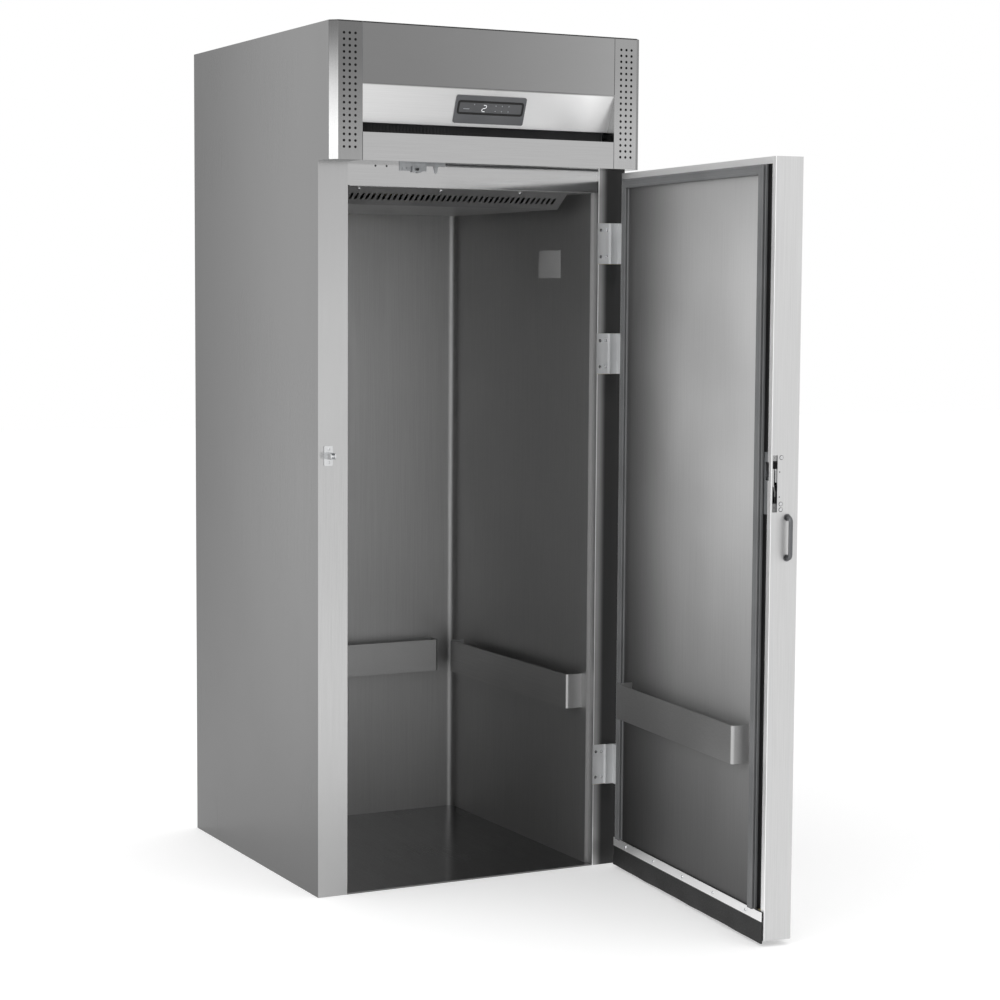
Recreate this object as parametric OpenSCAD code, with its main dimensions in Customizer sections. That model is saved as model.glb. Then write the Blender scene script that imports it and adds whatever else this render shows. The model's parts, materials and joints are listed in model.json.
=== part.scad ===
// Roll-in upright refrigerator with a single door, drawn with the door open.
// The origin is the centre of the cabinet's footprint on the floor, +Z is up and the door side faces -Y.

/* [Cabinet] */
// Height from the floor to the top of the machine bay
cabinet_h = 2150; // [2050:10:2300]
// Width over the side panels
cabinet_w = 860; // [820:10:960]
// Depth from the front faces of the stiles to the back panel
body_d = 870; // [850:10:960]
// Height of the machine bay on top of the cold room
bay_h = 330; // [320:2:380]
// Thickness of the outer skins, the deck and the liner
skin_t = 1; // [0.8:0.1:1.5]
// Thickness of the folded trims: stiles, header, fascia and vent posts
trim_t = 1.2; // [1:0.1:2]
// Side wall with its skins, from the outside to the liner's face
side_wall_t = 88; // [84:1:95]
// Back wall with its skins
back_wall_t = 55; // [50:1:70]
// Roof with its skins, from the ceiling to the machine deck
roof_t = 58; // [54:1:68]
// Visible width of each stile
stile_w = 78; // [74:1:80]
// Visible height of the header over the opening
header_h = 57; // [56:1:57]
// Depth of the reveal inside the stiles and the header
reveal_d = 23; // [18:1:30]
// Thickness of the floor plate
floor_t = 4; // [3:0.5:6]
// Inside radius of the liner's upright back corners
liner_corner_r = 20; // [12:1:30]

/* [Fascia] */
// How far the machine bay stands out past the stiles
fascia_reach = 82; // [78:1:95]
// Bevel on the two upright front corners of the bay
corner_bevel = 17; // [12:1:20]
// Width of each perforated vent post, with its bevel
vent_post_w = 81; // [78:1:90]
// Depth of the vent post's cheek beside the recess
cheek_d = 62; // [50:1:70]
// Diameter of a vent hole
vent_hole_d = 6.5; // [5:0.5:8]
// Spacing of the vent holes, both ways
vent_pitch = 15; // [12:1:18]
// Columns of holes in a vent post
vent_cols = 3; // [2:1:3]
// Height of the upright upper panel
upper_panel_h = 145; // [130:1:150]
// Height of the tilted display strip
strip_h = 92; // [86:1:100]
// How far the strip's lower edge is set back
strip_setback = 36; // [30:1:42]
// Height of the lower panel
lower_panel_h = 67; // [60:1:70]
// Width of the flanges folded back from the fascia's panels
fascia_flange_w = 18; // [14:1:22]

/* [Display] */
// Width of the display bezel
bezel_w = 194; // [160:1:200]
// Height of the display bezel
bezel_h = 71; // [64:1:74]
// How far the bezel stands out from the strip
bezel_t = 3; // [2:0.5:5]
// Corner radius of the bezel
bezel_r = 5; // [3:0.5:8]
// Offset of the bezel to the right of the strip's middle
bezel_shift = 4; // [-20:1:20]
// Offset of the bezel down from the strip's middle
bezel_drop = 5; // [0:0.5:6]
// Margin between the window and the bezel's sides
window_margin = 5; // [4:0.5:8]
// Margin between the window and the bezel's upper edge
window_top_margin = 12; // [8:1:14]
// Height of the display window
window_h = 36; // [28:1:40]
// Depth of the controller behind the strip
controller_d = 24; // [18:1:28]

/* [Door] */
// Angle at which the door stands open
open_angle = 84.35; // [0:0.05:95]
// Thickness of the door
door_t = 70; // [65:1:72]
// Thickness of the steel of the door pan
pan_t = 1.2; // [1:0.1:1.5]
// Distance from the left side of the cabinet to the door's free edge
free_inset = 6; // [4:0.5:10]
// Gap between the door's top edge and the fascia
door_top_gap = 8; // [5:0.5:12]
// Gap between the door pan and the floor
door_floor_gap = 14; // [10:1:20]
// Width of the steel lip folded round the inner face
lip_w = 16; // [12:0.5:17]
// Width of the black recess at the free edge
free_recess_w = 24; // [20:1:25]
// Width of the black recess at the hinge edge
hinge_recess_w = 8; // [7:0.5:11]
// Depth of that recess below the door's inner face
recess_depth = 8; // [6:0.5:9]
// Width of the magnetic gasket
gasket_w = 24; // [20:0.5:26]
// Gap left between the closed gasket and the stiles
gasket_gap = 0.5; // [0.4:0.1:1]
// Height of the plain steel foot of the inner face, which carries the sweep
foot_h = 67; // [62:1:75]
// Thickness of the rubber sweep
sweep_t = 4; // [3:0.5:5]
// Gap between the sweep and the floor
sweep_floor_gap = 6; // [3:0.5:10]
// Height of the steel strip that clamps the sweep
clamp_strip_h = 22; // [18:1:26]
// Thickness of that strip
clamp_strip_t = 1.5; // [1:0.1:2]

/* [Hinges] */
// Distance of the hinge axis in from the right side of the cabinet
pivot_inset = 14; // [13:0.5:15]
// Distance of the hinge axis in front of the stiles
pivot_front = 28; // [27:0.5:30]
// Radius of a knuckle
knuckle_r = 8; // [7:0.5:8.5]
// Radius of a hinge pin
pin_r = 4; // [3:0.5:5]
// Radial clearance of a pin in its knuckles
pin_clearance = 0.05; // [0.02:0.01:0.08]
// Gap between the door's hinge edge and the knuckles
knuckle_gap = 4; // [3.5:0.5:5]
// Height of a hinge over both knuckles
hinge_h = 158; // [140:2:170]
// Height of the door's knuckle, the lower one
door_knuckle_h = 53; // [45:1:60]
// Height of the lowest hinge above the floor
hinge_low_z = 163; // [120:1:240]
// Distance of the middle hinge below the bay
hinge_mid_drop = 577; // [540:1:640]
// Distance of the top hinge below the bay
hinge_top_drop = 293; // [280:1:340]
// Thickness of the hinge plates let into the stile
hinge_plate_t = 3; // [2:0.5:4]
// Width of the flat part of a hinge plate
hinge_plate_w = 35; // [30:1:38]

/* [Latch] */
// Height of the striker's axis above the floor
striker_z = 1102; // [1000:1:1200]
// Distance of the striker's middle from the left side of the cabinet
striker_inset = 26; // [25:0.5:28]
// How far the striker's pin stands in front of the stile
striker_reach = 26; // [24:0.5:28]
// Radius of the striker's pin
striker_pin_r = 3; // [2.5:0.5:3.5]
// Height of the slot in the door's edge
latch_slot_h = 130; // [120:1:140]
// Width of the slot in the door's edge
latch_slot_w = 12.5; // [10:0.5:14]
// Depth of the latch case
latch_case_d = 49; // [46:1:55]
// Wall of the latch case
latch_wall = 2; // [1.5:0.1:2.5]
// Angle that the hook turns through to catch the striker
hook_angle = 22; // [20:1:24]
// Thickness of the hook
hook_t = 6; // [5:0.5:7]

/* [Door switch] */
// Distance of the door switch from the cabinet's left side
switch_inset = 262; // [240:1:280]

/* [Pull] */
// Height of the pull's lower end above the floor
pull_z = 903; // [860:1:920]
// Length of the pull between the middles of its feet
pull_span = 93; // [85:1:95]
// Radius of the pull's bar
pull_r = 5; // [4:0.5:6]
// Distance from the door's edge to the middle of the bar
pull_reach = 18; // [17:0.5:26]
// Distance of the pull from the door's inner face
pull_inset = 43; // [40:1:50]

/* [Bumpers] */
// Height of the cabinet bumpers' lower edge
bumper_z = 415; // [300:5:600]
// Height of the door bumper's lower edge
door_bumper_z = 415; // [300:1:600]
// Length of the door bumper
door_bumper_len = 648; // [560:4:660]
// Gap between the door bumper's free end and the cavity's wall, with the door closed
door_bumper_gap = 4; // [3.5:0.5:12]
// Height of a bumper strip
bumper_h = 90; // [70:1:110]
// How far a bumper stands off its wall
bumper_standoff = 45; // [35:1:50]
// Thickness of a bumper strip
bumper_t = 2; // [1.5:0.1:3]
// Outside radius of a bumper's bends
bumper_bend_r = 7; // [5:0.5:12]
// Distance from the stiles' front to the right bumper
bumper_front_gap = 48; // [46:1:60]
// Distance from the stiles' front to the left bumper, which stands clear of the latch
left_bumper_front_gap = 110; // [60:1:130]
// Gap between the back bumper's face and the side bumpers
bumper_corner_gap = 25; // [15:1:40]

/* [Air cover] */
// Distance from the stiles' front to the cover's upper edge
cover_front = 42; // [38:1:50]
// How far the cover hangs below the ceiling
cover_drop = 41; // [30:1:45]
// Horizontal run of the slanted slotted face
cover_slant = 58; // [50:1:65]
// Gap between the cover's back edge and the air duct
cover_back_gap = 10; // [6:1:20]
// Gap between the cover and the left wall
cover_left_gap = 4; // [2:0.5:8]
// Gap between the cover and the right wall, where air returns
cover_right_gap = 56; // [40:1:80]
// Spacing of the slots
slot_pitch = 15; // [12:0.5:18]
// Width of a slot
slot_w = 7; // [5:0.5:8]
// Length of a slot, down the slope
slot_len = 26; // [22:1:30]

/* [Evaporator] */
// Width of the insulated housing over the roof
housing_w = 580; // [560:10:640]
// Distance of the housing in front of the cabinet's back
housing_back_gap = 50; // [45:1:60]
// Height of the housing
housing_h = 268; // [250:2:280]
// Wall of the housing
housing_wall = 25; // [20:1:30]
// Distance of the housing behind the stiles' front
housing_front = 250; // [245:1:260]
// Diameter of the evaporator fan
evaporator_fan_d = 200; // [180:5:210]
// Radius of the evaporator fan's motor
evaporator_motor_r = 32; // [28:1:34]
// Height of the evaporator fan's motor
evaporator_motor_h = 50; // [44:1:56]
// Gap between a fan's blades and the ring or hole round them
fan_tip_gap = 6; // [5:0.5:8]

/* [Condensing unit] */
// Distance of the mains gland from the cabinet's right side
gland_inset = 100; // [90:1:120]
// Width of the tray under the unit
tray_w = 800; // [780:5:810]
// Depth of the tray
tray_d = 208; // [200:1:210]
// Height of the tray's folded edges
tray_lip = 14; // [10:1:18]
// Radius of the condenser fan's motor
condenser_motor_r = 38; // [34:1:40]
// Depth of the condenser fan's motor
condenser_motor_h = 56; // [50:1:60]
// Radius of the compressor's shell
compressor_r = 88; // [80:1:92]
// Height of the compressor's shell
compressor_h = 196; // [180:1:210]
// Height of the rubber feet under the compressor
grommet_h = 14; // [10:1:18]
// Distance of the compressor from the middle of the cabinet
compressor_x = 205; // [195:1:210]
// Width of the condenser's finned block
condenser_w = 300; // [290:5:310]
// Depth of the condenser's finned block
condenser_d = 50; // [44:1:55]
// Height of the condenser's finned block
condenser_h = 264; // [256:2:270]
// Spacing of the fins
fin_pitch = 7.5; // [6:0.5:10]
// Radius of the coil tubes
coil_tube_r = 4.5; // [4:0.5:5]
// Diameter of the condenser fan
condenser_fan_d = 230; // [210:5:236]
// Radius of the copper pipes
pipe_r = 4; // [3:0.5:5]

/* [Hidden] */
$fn = 48;

// Heights
bay_z = cabinet_h - bay_h;
header_z = bay_z - header_h;
ceiling_z = bay_z - roof_t;
// Planes across the depth
front_y = -body_d / 2;
back_y = body_d / 2;
reveal_y = front_y + reveal_d;
liner_back_y = back_y - back_wall_t;
fascia_y = front_y - fascia_reach;
bevel_y = fascia_y + corner_bevel;
// Half widths
half_w = cabinet_w / 2;
cavity_x = half_w - side_wall_t;
jamb_x = half_w - stile_w;
post_x = half_w - vent_post_w;
// Small clearance between pieces that are set into each other
fit_gap = 0.3;

// Door, in its closed place
door_out_y = fascia_y;
door_in_y = door_out_y + door_t;
pivot_x = half_w - pivot_inset;
pivot_y = front_y - pivot_front;
door_x0 = -half_w + free_inset;
door_x1 = pivot_x - knuckle_r - knuckle_gap;
door_z0 = door_floor_gap;
door_z1 = bay_z - door_top_gap;
recess_y = door_in_y - recess_depth;
seat_y = door_in_y - 2;
// Inner edges of the gasket's three runs, which are also the edges of the inner panel
gasket_x0 = door_x0 + lip_w + free_recess_w;
gasket_x1 = door_x1 - lip_w - hinge_recess_w;
gasket_z1 = door_z1 - lip_w;
inner_x0 = gasket_x0 + gasket_w;
inner_x1 = gasket_x1 - gasket_w;
inner_z1 = gasket_z1 - gasket_w;
inner_z0 = door_z0 + foot_h;

// Shapes shared by several pieces

function unit(v) = v / norm(v);
function left_of(v) = [-v.y, v.x];
// Point i of a path, moved to the left by t on the mitre of its two stretches
function mitre(path, i, t) =
    let (last = len(path) - 1,
         a = left_of(unit(path[max(i, 1)] - path[max(i, 1) - 1])),
         b = left_of(unit(path[min(i, last - 1) + 1] - path[min(i, last - 1)])))
    path[i] + t * (a + b) / (1 + a * b);

// Cross-section of a folded sheet: the path is its outer face, the steel lies to the left
module folded(path, t) {
    inner = [for (i = [len(path) - 1 : -1 : 0]) mitre(path, i, t)];
    polygon(concat(path, inner));
}

// Runs a profile drawn in Y and Z along X, from x0 over a length
module along_x(x0, length) {
    translate([x0, 0, 0]) rotate([90, 0, 90]) linear_extrude(length) children();
}

// Runs a profile drawn in X and Z along Y, from y0 over a length
module along_y(y0, length) {
    translate([0, y0 + length, 0]) rotate([90, 0, 0]) linear_extrude(length) children();
}

// Box between two corners
module block(low, high) {
    translate(low) cube(high - low);
}

// Rectangle with round corners, its lower left corner at the origin
module rounded(size, r) {
    translate([r, 0]) square([size.x - 2 * r, size.y]);
    translate([0, r]) square([size.x, size.y - 2 * r]);
    for (x = [r, size.x - r], y = [r, size.y - r]) translate([x, y]) circle(r);
}

// Long hole with round ends, centred, its length along Y
module obround(w, length) {
    square([w, length - w], center = true);
    for (s = [-1, 1]) translate([0, s * (length - w) / 2]) circle(w / 2);
}

// Pan-head screw on a face, its head towards +Z
module pan_screw(head_r, head_h) {
    difference() {
        union() {
            cylinder(h = head_h * 0.6, r = head_r);
            translate([0, 0, head_h * 0.6])
                cylinder(h = head_h * 0.4, r1 = head_r, r2 = head_r * 0.7, $fn = 24);
        }
        for (a = [0, 90]) rotate(a) translate([-head_r * 0.55, -head_r * 0.12, head_h * 0.5])
            cube([head_r * 1.1, head_r * 0.24, head_h]);
    }
}

// Round pipe through a list of points, with bends of radius bend_r
module pipe_run(points, r, bend_r) {
    last = len(points) - 1;
    // Length that a bend takes from the stretches on its two sides
    function cut(i) = i == 0 || i == last ? 0 :
        let (a = unit(points[i] - points[i - 1]), b = unit(points[i + 1] - points[i]))
        bend_r * tan(acos(a * b) / 2);
    union() {
        for (i = [0 : last - 1]) {
            d = unit(points[i + 1] - points[i]);
            start = points[i] + d * cut(i);
            length = norm(points[i + 1] - points[i]) - cut(i) - cut(i + 1);
            translate(start) rotate([0, acos(d.z), atan2(d.y, d.x)]) cylinder(h = length, r = r);
        }
        for (i = [1 : last - 1]) {
            a = unit(points[i] - points[i - 1]);
            b = unit(points[i + 1] - points[i]);
            turn = acos(a * b);
            axis = unit(cross(a, b));
            side = cross(axis, a);
            centre = points[i] - a * cut(i) + side * bend_r;
            // Local X points from the bend's centre to its start, local Y along the first stretch
            multmatrix([
                [-side.x, a.x, -cross(side, a).x, centre.x],
                [-side.y, a.y, -cross(side, a).y, centre.y],
                [-side.z, a.z, -cross(side, a).z, centre.z],
                [0, 0, 0, 1]])
                rotate_extrude(angle = turn) translate([bend_r, 0]) circle(r);
        }
    }
}

// Places the door's pieces, drawn closed, at the angle that the door stands open
module hung() {
    translate([pivot_x, pivot_y, 0]) rotate(open_angle) translate([-pivot_x, -pivot_y, 0]) children();
}

// Outer case

flange_w = 15;
module side_panel() {
    color([0.62, 0.63, 0.64]) {
        side_front = bevel_y + skin_t;
        along_x(-half_w, skin_t) polygon([
            [front_y + trim_t, 0], [back_y, 0], [back_y, cabinet_h], [side_front, cabinet_h],
            [side_front, bay_z], [front_y + trim_t, bay_z]]);
        block([-half_w + skin_t, front_y, cabinet_h - skin_t],
              [-half_w + skin_t + flange_w, back_y - flange_w - skin_t, cabinet_h]);
        block([-half_w + skin_t, reveal_y, 0], [-cavity_x - skin_t, back_y - skin_t, skin_t]);
    }
}

module side_panel_left() { side_panel(); }
module side_panel_right() { mirror([1, 0, 0]) side_panel(); }

module back_panel() {
    color([0.6, 0.61, 0.62]) {
        block([-half_w + skin_t, back_y - skin_t, 0], [half_w - skin_t, back_y, bay_z]);
        block([-cavity_x - skin_t, liner_back_y + skin_t, 0], [cavity_x + skin_t, back_y - skin_t, skin_t]);
    }
}

// Foam slabs between the skins

module insulation_side() {
    outer = -half_w + skin_t;
    color([0.93, 0.86, 0.6]) translate([0, 0, skin_t])
        linear_extrude(ceiling_z) polygon([
            [outer + trim_t, front_y + trim_t], [-jamb_x - trim_t, front_y + trim_t],
            [-jamb_x - trim_t, reveal_y], [-cavity_x - skin_t, reveal_y],
            [-cavity_x - skin_t, back_y - skin_t], [outer, back_y - skin_t],
            [outer, reveal_y], [outer + trim_t, reveal_y]]);
}

module insulation_left() { insulation_side(); }
module insulation_right() {
    difference() {
        mirror([1, 0, 0]) insulation_side();
        color([0.93, 0.86, 0.6]) hinge_pockets();
    }
}

module insulation_back() {
    color([0.93, 0.86, 0.6]) block(
        [-cavity_x - skin_t, liner_back_y + skin_t, skin_t],
        [cavity_x + skin_t, back_y - skin_t, ceiling_z + skin_t]);
}

// The evaporator fan draws through a round hole in the roof, and air falls back through a slot
housing_x0 = (cover_left_gap - cover_right_gap) / 2 - housing_w / 2;
housing_y0 = front_y + housing_front;
housing_d = body_d - housing_front - housing_back_gap;
fan_hole_r = evaporator_fan_d / 2 + fan_tip_gap;
evaporator_fan_x = housing_x0 + housing_w / 2;
evaporator_fan_y = housing_y0 + housing_wall + fan_hole_r + 5;
duct_w = 400;
duct_d = 80;
duct_y = housing_y0 + housing_d - housing_wall - duct_d - 10;
module roof_openings(z0, z1) {
    translate([evaporator_fan_x, evaporator_fan_y, z0 - 1]) cylinder(h = z1 - z0 + 2, r = fan_hole_r);
    block([evaporator_fan_x - duct_w / 2, duct_y, z0 - 1],
          [evaporator_fan_x + duct_w / 2, duct_y + duct_d, z1 + 1]);
}

module insulation_top() {
    color([0.93, 0.86, 0.6]) difference() {
        union() {
            block([-half_w + skin_t, reveal_y, ceiling_z + skin_t],
                  [half_w - skin_t, back_y - skin_t, bay_z - skin_t]);
            block([-jamb_x, front_y + trim_t, header_z + trim_t], [jamb_x, reveal_y, bay_z - trim_t]);
        }
        roof_openings(ceiling_z, bay_z);
    }
}

// Inner box

module liner() {
    inner_d = liner_back_y - reveal_y;
    outer_r = liner_corner_r + skin_t;
    color([0.5, 0.51, 0.52]) linear_extrude(ceiling_z) translate([-cavity_x, reveal_y]) intersection() {
        difference() {
            translate([-skin_t, -outer_r - 1])
                rounded([2 * (cavity_x + skin_t), inner_d + skin_t + outer_r + 1], outer_r);
            translate([0, -outer_r - 2]) rounded([2 * cavity_x, inner_d + outer_r + 2], liner_corner_r);
        }
        translate([-skin_t, 0]) square([2 * (cavity_x + skin_t), inner_d + skin_t]);
    }
}

module ceiling_panel() {
    // Depth of the tongue that lies under the header's lower fold
    tongue_d = 12;
    top_z = ceiling_z + skin_t;
    color([0.55, 0.56, 0.57]) difference() {
        union() {
            block([-cavity_x - skin_t, reveal_y, ceiling_z],
                  [cavity_x + skin_t, liner_back_y + skin_t, top_z]);
            block([-cavity_x, reveal_y - tongue_d, ceiling_z], [cavity_x, reveal_y, top_z]);
        }
        roof_openings(ceiling_z, top_z);
    }
}

module floor_plate() {
    // The plate's corners are a little rounder than the liner's, so that it drops in
    plate_r = liner_corner_r + 1;
    color([0.42, 0.43, 0.44]) linear_extrude(floor_t) {
        translate([-jamb_x, front_y]) square([2 * jamb_x, reveal_d - trim_t]);
        intersection() {
            translate([-cavity_x, reveal_y - trim_t - plate_r])
                rounded([2 * cavity_x, liner_back_y - reveal_y + trim_t + plate_r], plate_r);
            translate([-cavity_x, reveal_y - trim_t])
                square([2 * cavity_x, liner_back_y - reveal_y + trim_t]);
        }
    }
}

// Front frame

module stile() {
    color([0.72, 0.73, 0.74]) {
        linear_extrude(bay_z) {
            translate([-half_w, front_y]) square([stile_w, trim_t]);
            translate([-half_w + skin_t, front_y]) square([trim_t, reveal_d]);
            translate([-jamb_x - trim_t, front_y]) square([trim_t, reveal_d]);
        }
        linear_extrude(header_z) translate([-jamb_x - trim_t, reveal_y - trim_t])
            square([jamb_x + trim_t - cavity_x, trim_t]);
    }
}

// Pockets in the right stile and its foam that take the hinge plates flush
module hinge_pockets() {
    for (z = hinge_zs) block(
        [jamb_x - 1, front_y - 1, z + door_knuckle_h - fit_gap],
        [jamb_x + hinge_base_w + fit_gap, front_y + hinge_plate_t, z + hinge_h + fit_gap]);
}

module stile_left() { stile(); }
module stile_right() {
    difference() {
        mirror([1, 0, 0]) stile();
        color([0.72, 0.73, 0.74]) hinge_pockets();
    }
}

module header() {
    color([0.75, 0.76, 0.77]) along_x(-jamb_x, 2 * jamb_x) {
        translate([front_y, header_z]) square([trim_t, header_h]);
        translate([front_y, header_z]) square([reveal_d, trim_t]);
        translate([front_y, bay_z - trim_t]) square([reveal_d, trim_t]);
    }
}

// Bumpers: steel strips whose ends are bent back to the wall that they guard

module bumper_strip(length, height) {
    linear_extrude(height) intersection() {
        difference() {
            translate([0, -bumper_standoff]) rounded([length, 2 * bumper_standoff], bumper_bend_r);
            translate([bumper_t, bumper_t - bumper_standoff])
                rounded([length - 2 * bumper_t, 2 * (bumper_standoff - bumper_t)],
                        bumper_bend_r - bumper_t);
        }
        square([length, bumper_standoff]);
    }
}

module side_bumper(front_gap) {
    end_y = liner_back_y - bumper_standoff - bumper_corner_gap;
    color([0.6, 0.61, 0.62]) translate([-cavity_x, end_y, bumper_z])
        rotate(-90) bumper_strip(end_y - front_y - front_gap, bumper_h);
}
module bumper_left() { side_bumper(left_bumper_front_gap); }
module bumper_right() { mirror([1, 0, 0]) side_bumper(bumper_front_gap); }
module bumper_back() {
    back_len = 2 * (cavity_x - bumper_standoff - bumper_corner_gap);
    color([0.6, 0.61, 0.62]) translate([back_len / 2, liner_back_y, bumper_z])
        rotate(180) bumper_strip(back_len, bumper_h);
}

// Air cover under the ceiling, with a slanted slotted front

cover_x0 = -cavity_x + cover_left_gap;
cover_w = 2 * cavity_x - cover_left_gap - cover_right_gap;
cover_y0 = front_y + cover_front;
cover_slope = atan2(cover_drop, cover_slant);
cover_face = norm([cover_drop, cover_slant]);
cover_flat_d = duct_y - cover_back_gap - cover_y0 - cover_slant;
cover_screw_xs = [0.06, 0.42, 0.78];
cover_screw_down = 7;
module on_cover_slope(down) {
    translate([cover_x0, cover_y0, ceiling_z]) rotate([-cover_slope, 0, 0])
        translate([0, down, 0]) children();
}
module evaporator_cover() {
    cheek_t = trim_t;
    slot_count = floor((cover_w - 2 * slot_pitch) / slot_pitch);
    slot_x0 = (cover_w - (slot_count - 1) * slot_pitch) / 2;
    slot_mid = cover_face / 2 + 2;
    path = [[cover_y0, ceiling_z], [cover_y0 + cover_slant, ceiling_z - cover_drop],
            [cover_y0 + cover_slant + cover_flat_d, ceiling_z - cover_drop],
            [cover_y0 + cover_slant + cover_flat_d, ceiling_z]];
    color([0.55, 0.56, 0.57]) difference() {
        union() {
            intersection() {
                along_x(cover_x0, cover_w) folded(path, trim_t);
                block([cover_x0, cover_y0, ceiling_z - cover_drop],
                      [cover_x0 + cover_w, cover_y0 + cover_slant + cover_flat_d, ceiling_z]);
            }
            for (x = [cover_x0, cover_x0 + cover_w - cheek_t]) along_x(x, cheek_t) polygon(path);
        }
        for (i = [0 : slot_count - 1]) on_cover_slope(slot_mid)
            translate([slot_x0 + i * slot_pitch, 0, -5]) linear_extrude(10) obround(slot_w, slot_len);
        for (s = cover_screw_xs) on_cover_slope(cover_screw_down)
            translate([s * cover_w, 0, -5]) cylinder(h = 10, r = 2);
    }
}

module evaporator_cover_screws() {
    color("silver") for (s = cover_screw_xs) on_cover_slope(cover_screw_down)
        translate([s * cover_w, 0, 0]) rotate([180, 0, 0]) {
            pan_screw(4, 2.5);
            translate([0, 0, -trim_t - 2]) cylinder(h = trim_t + 2, r = 2 - pin_clearance);
        }
}

// Refrigeration over the roof: an insulated evaporator housing, with a fan over the hole in the roof

module evaporator_housing() {
    lid_t = 20;
    lid_over = 4;
    x1 = housing_x0 + housing_w;
    y1 = housing_y0 + housing_d;
    z1 = bay_z + housing_h;
    color([0.78, 0.79, 0.8]) difference() {
        union() {
            block([housing_x0, housing_y0, bay_z], [x1, y1, z1]);
            block([housing_x0 - lid_over, housing_y0 - lid_over, z1 - lid_t],
                  [x1 + lid_over, y1 + lid_over, z1]);
        }
        block([housing_x0 + housing_wall, housing_y0 + housing_wall, bay_z - 1],
              [x1 - housing_wall, y1 - housing_wall, z1 - housing_wall]);
        for (p = [[suction_x, suction_rise], [liquid_x, liquid_rise]])
            translate([p.x, housing_y0 - 1, bay_z + p.y]) rotate([-90, 0, 0])
                cylinder(h = housing_wall + 2, r = pipe_r + fit_gap);
    }
}

// Height of tube k in a coil of a number of rows
function coil_row(h, rows, k) = (h - rows * floor(h / rows)) / 2 + (k + 0.5) * floor(h / rows);

// Finned coil: end plates, thin fins, straight tubes through them and return bends at both ends
module finned_coil(w, d, h, pitch, rows, columns) {
    end_t = 1.5;
    fin_t = 0.8;
    count = floor((w - 2 * end_t) / pitch);
    row_step = floor(h / rows);
    col_step = d / columns;
    for (x = [0, w - end_t]) translate([x, 0, 0]) cube([end_t, d, h]);
    for (i = [1 : count - 1]) translate([i * w / count - fin_t / 2, 1, 1]) cube([fin_t, d - 2, h - 2]);
    for (c = [0 : columns - 1], k = [0 : rows - 1])
        translate([-6, (c + 0.5) * col_step, coil_row(h, rows, k)]) rotate([0, 90, 0])
            cylinder(h = w + 12, r = coil_tube_r);
    // Return bends join the rows in turn, on the right for even rows and on the left for odd ones
    for (c = [0 : columns - 1], k = [0 : rows - 2])
        translate([k % 2 == 0 ? w + 6 : -6, (c + 0.5) * col_step, coil_row(h, rows, k + 0.5)])
            rotate([90, 0, k % 2 == 0 ? 0 : 180]) rotate([0, 0, -90])
                rotate_extrude(angle = 180) translate([row_step / 2, 0]) circle(coil_tube_r);
}

evaporator_rows = 6;
evaporator_coil_d = 90;
evaporator_coil_h = housing_h - housing_wall - 20;
evaporator_coil_side = 32;
evaporator_coil_x0 = housing_x0 + housing_wall + evaporator_coil_side;
evaporator_coil_y0 = duct_y - evaporator_coil_d - 20;
module evaporator_coil() {
    coil_w = housing_w - 2 * housing_wall - 2 * evaporator_coil_side;
    color([0.8, 0.82, 0.85]) translate([evaporator_coil_x0, evaporator_coil_y0, bay_z])
        finned_coil(coil_w, evaporator_coil_d, evaporator_coil_h, 16, evaporator_rows, 2);
}

// Five-bladed axial fan about Z, blowing up, on a shaft that runs up into its motor
module axial_fan(d, depth, shaft_up) {
    hub_r = d * 0.13;
    hub_h = depth * 0.8;
    blade_t = 1.5;
    difference() {
        union() {
            cylinder(h = hub_h, r = hub_r);
            for (i = [0 : 4]) rotate(i * 72) fan_blade(d, hub_h, blade_t);
        }
        translate([0, 0, -1]) cylinder(h = hub_h - 3, r = hub_r - 3);
    }
    translate([0, 0, hub_h - 4]) cylinder(h = shaft_up + 4, r = 3);
}

// Blade cut from sheet, set at a pitch across the hub, with a round tip and round corners
module fan_blade(d, hub_h, t) {
    pitch_deg = 26;
    root = d * 0.1;
    chord = d * 0.3;
    translate([0, 0, hub_h / 2]) rotate([pitch_deg, 0, 0]) translate([0, 0, -t / 2]) linear_extrude(t)
        intersection() {
            circle(d / 2);
            translate([root, -chord / 2]) rounded([d / 2 - root, chord], d * 0.06);
        }
}

evaporator_fan_depth = 34;
evaporator_fan_z = bay_z - evaporator_fan_depth + 10;
evaporator_motor_z = bay_z + 26;
module evaporator_fan() {
    color([0.2, 0.2, 0.22]) translate([evaporator_fan_x, evaporator_fan_y, evaporator_fan_z])
        axial_fan(evaporator_fan_d, evaporator_fan_depth, evaporator_motor_z - evaporator_fan_z - 7);
}

// Motor with a blind bore for the fan's shaft, drawn about Z with its bore facing down
module fan_motor(r, h) {
    difference() {
        union() {
            cylinder(h = h * 0.2, r = r * 0.55);
            translate([0, 0, h * 0.2]) cylinder(h = h * 0.55, r = r);
            translate([0, 0, h * 0.75]) cylinder(h = h * 0.25, r = r * 0.7);
        }
        translate([0, 0, -1]) cylinder(h = h * 0.5 + 1, r = 3 + pin_clearance);
        for (i = [0 : 11]) rotate(i * 30) translate([r, 0, h * 0.28]) cylinder(h = h * 0.4, r = 1.6);
    }
}

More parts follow.
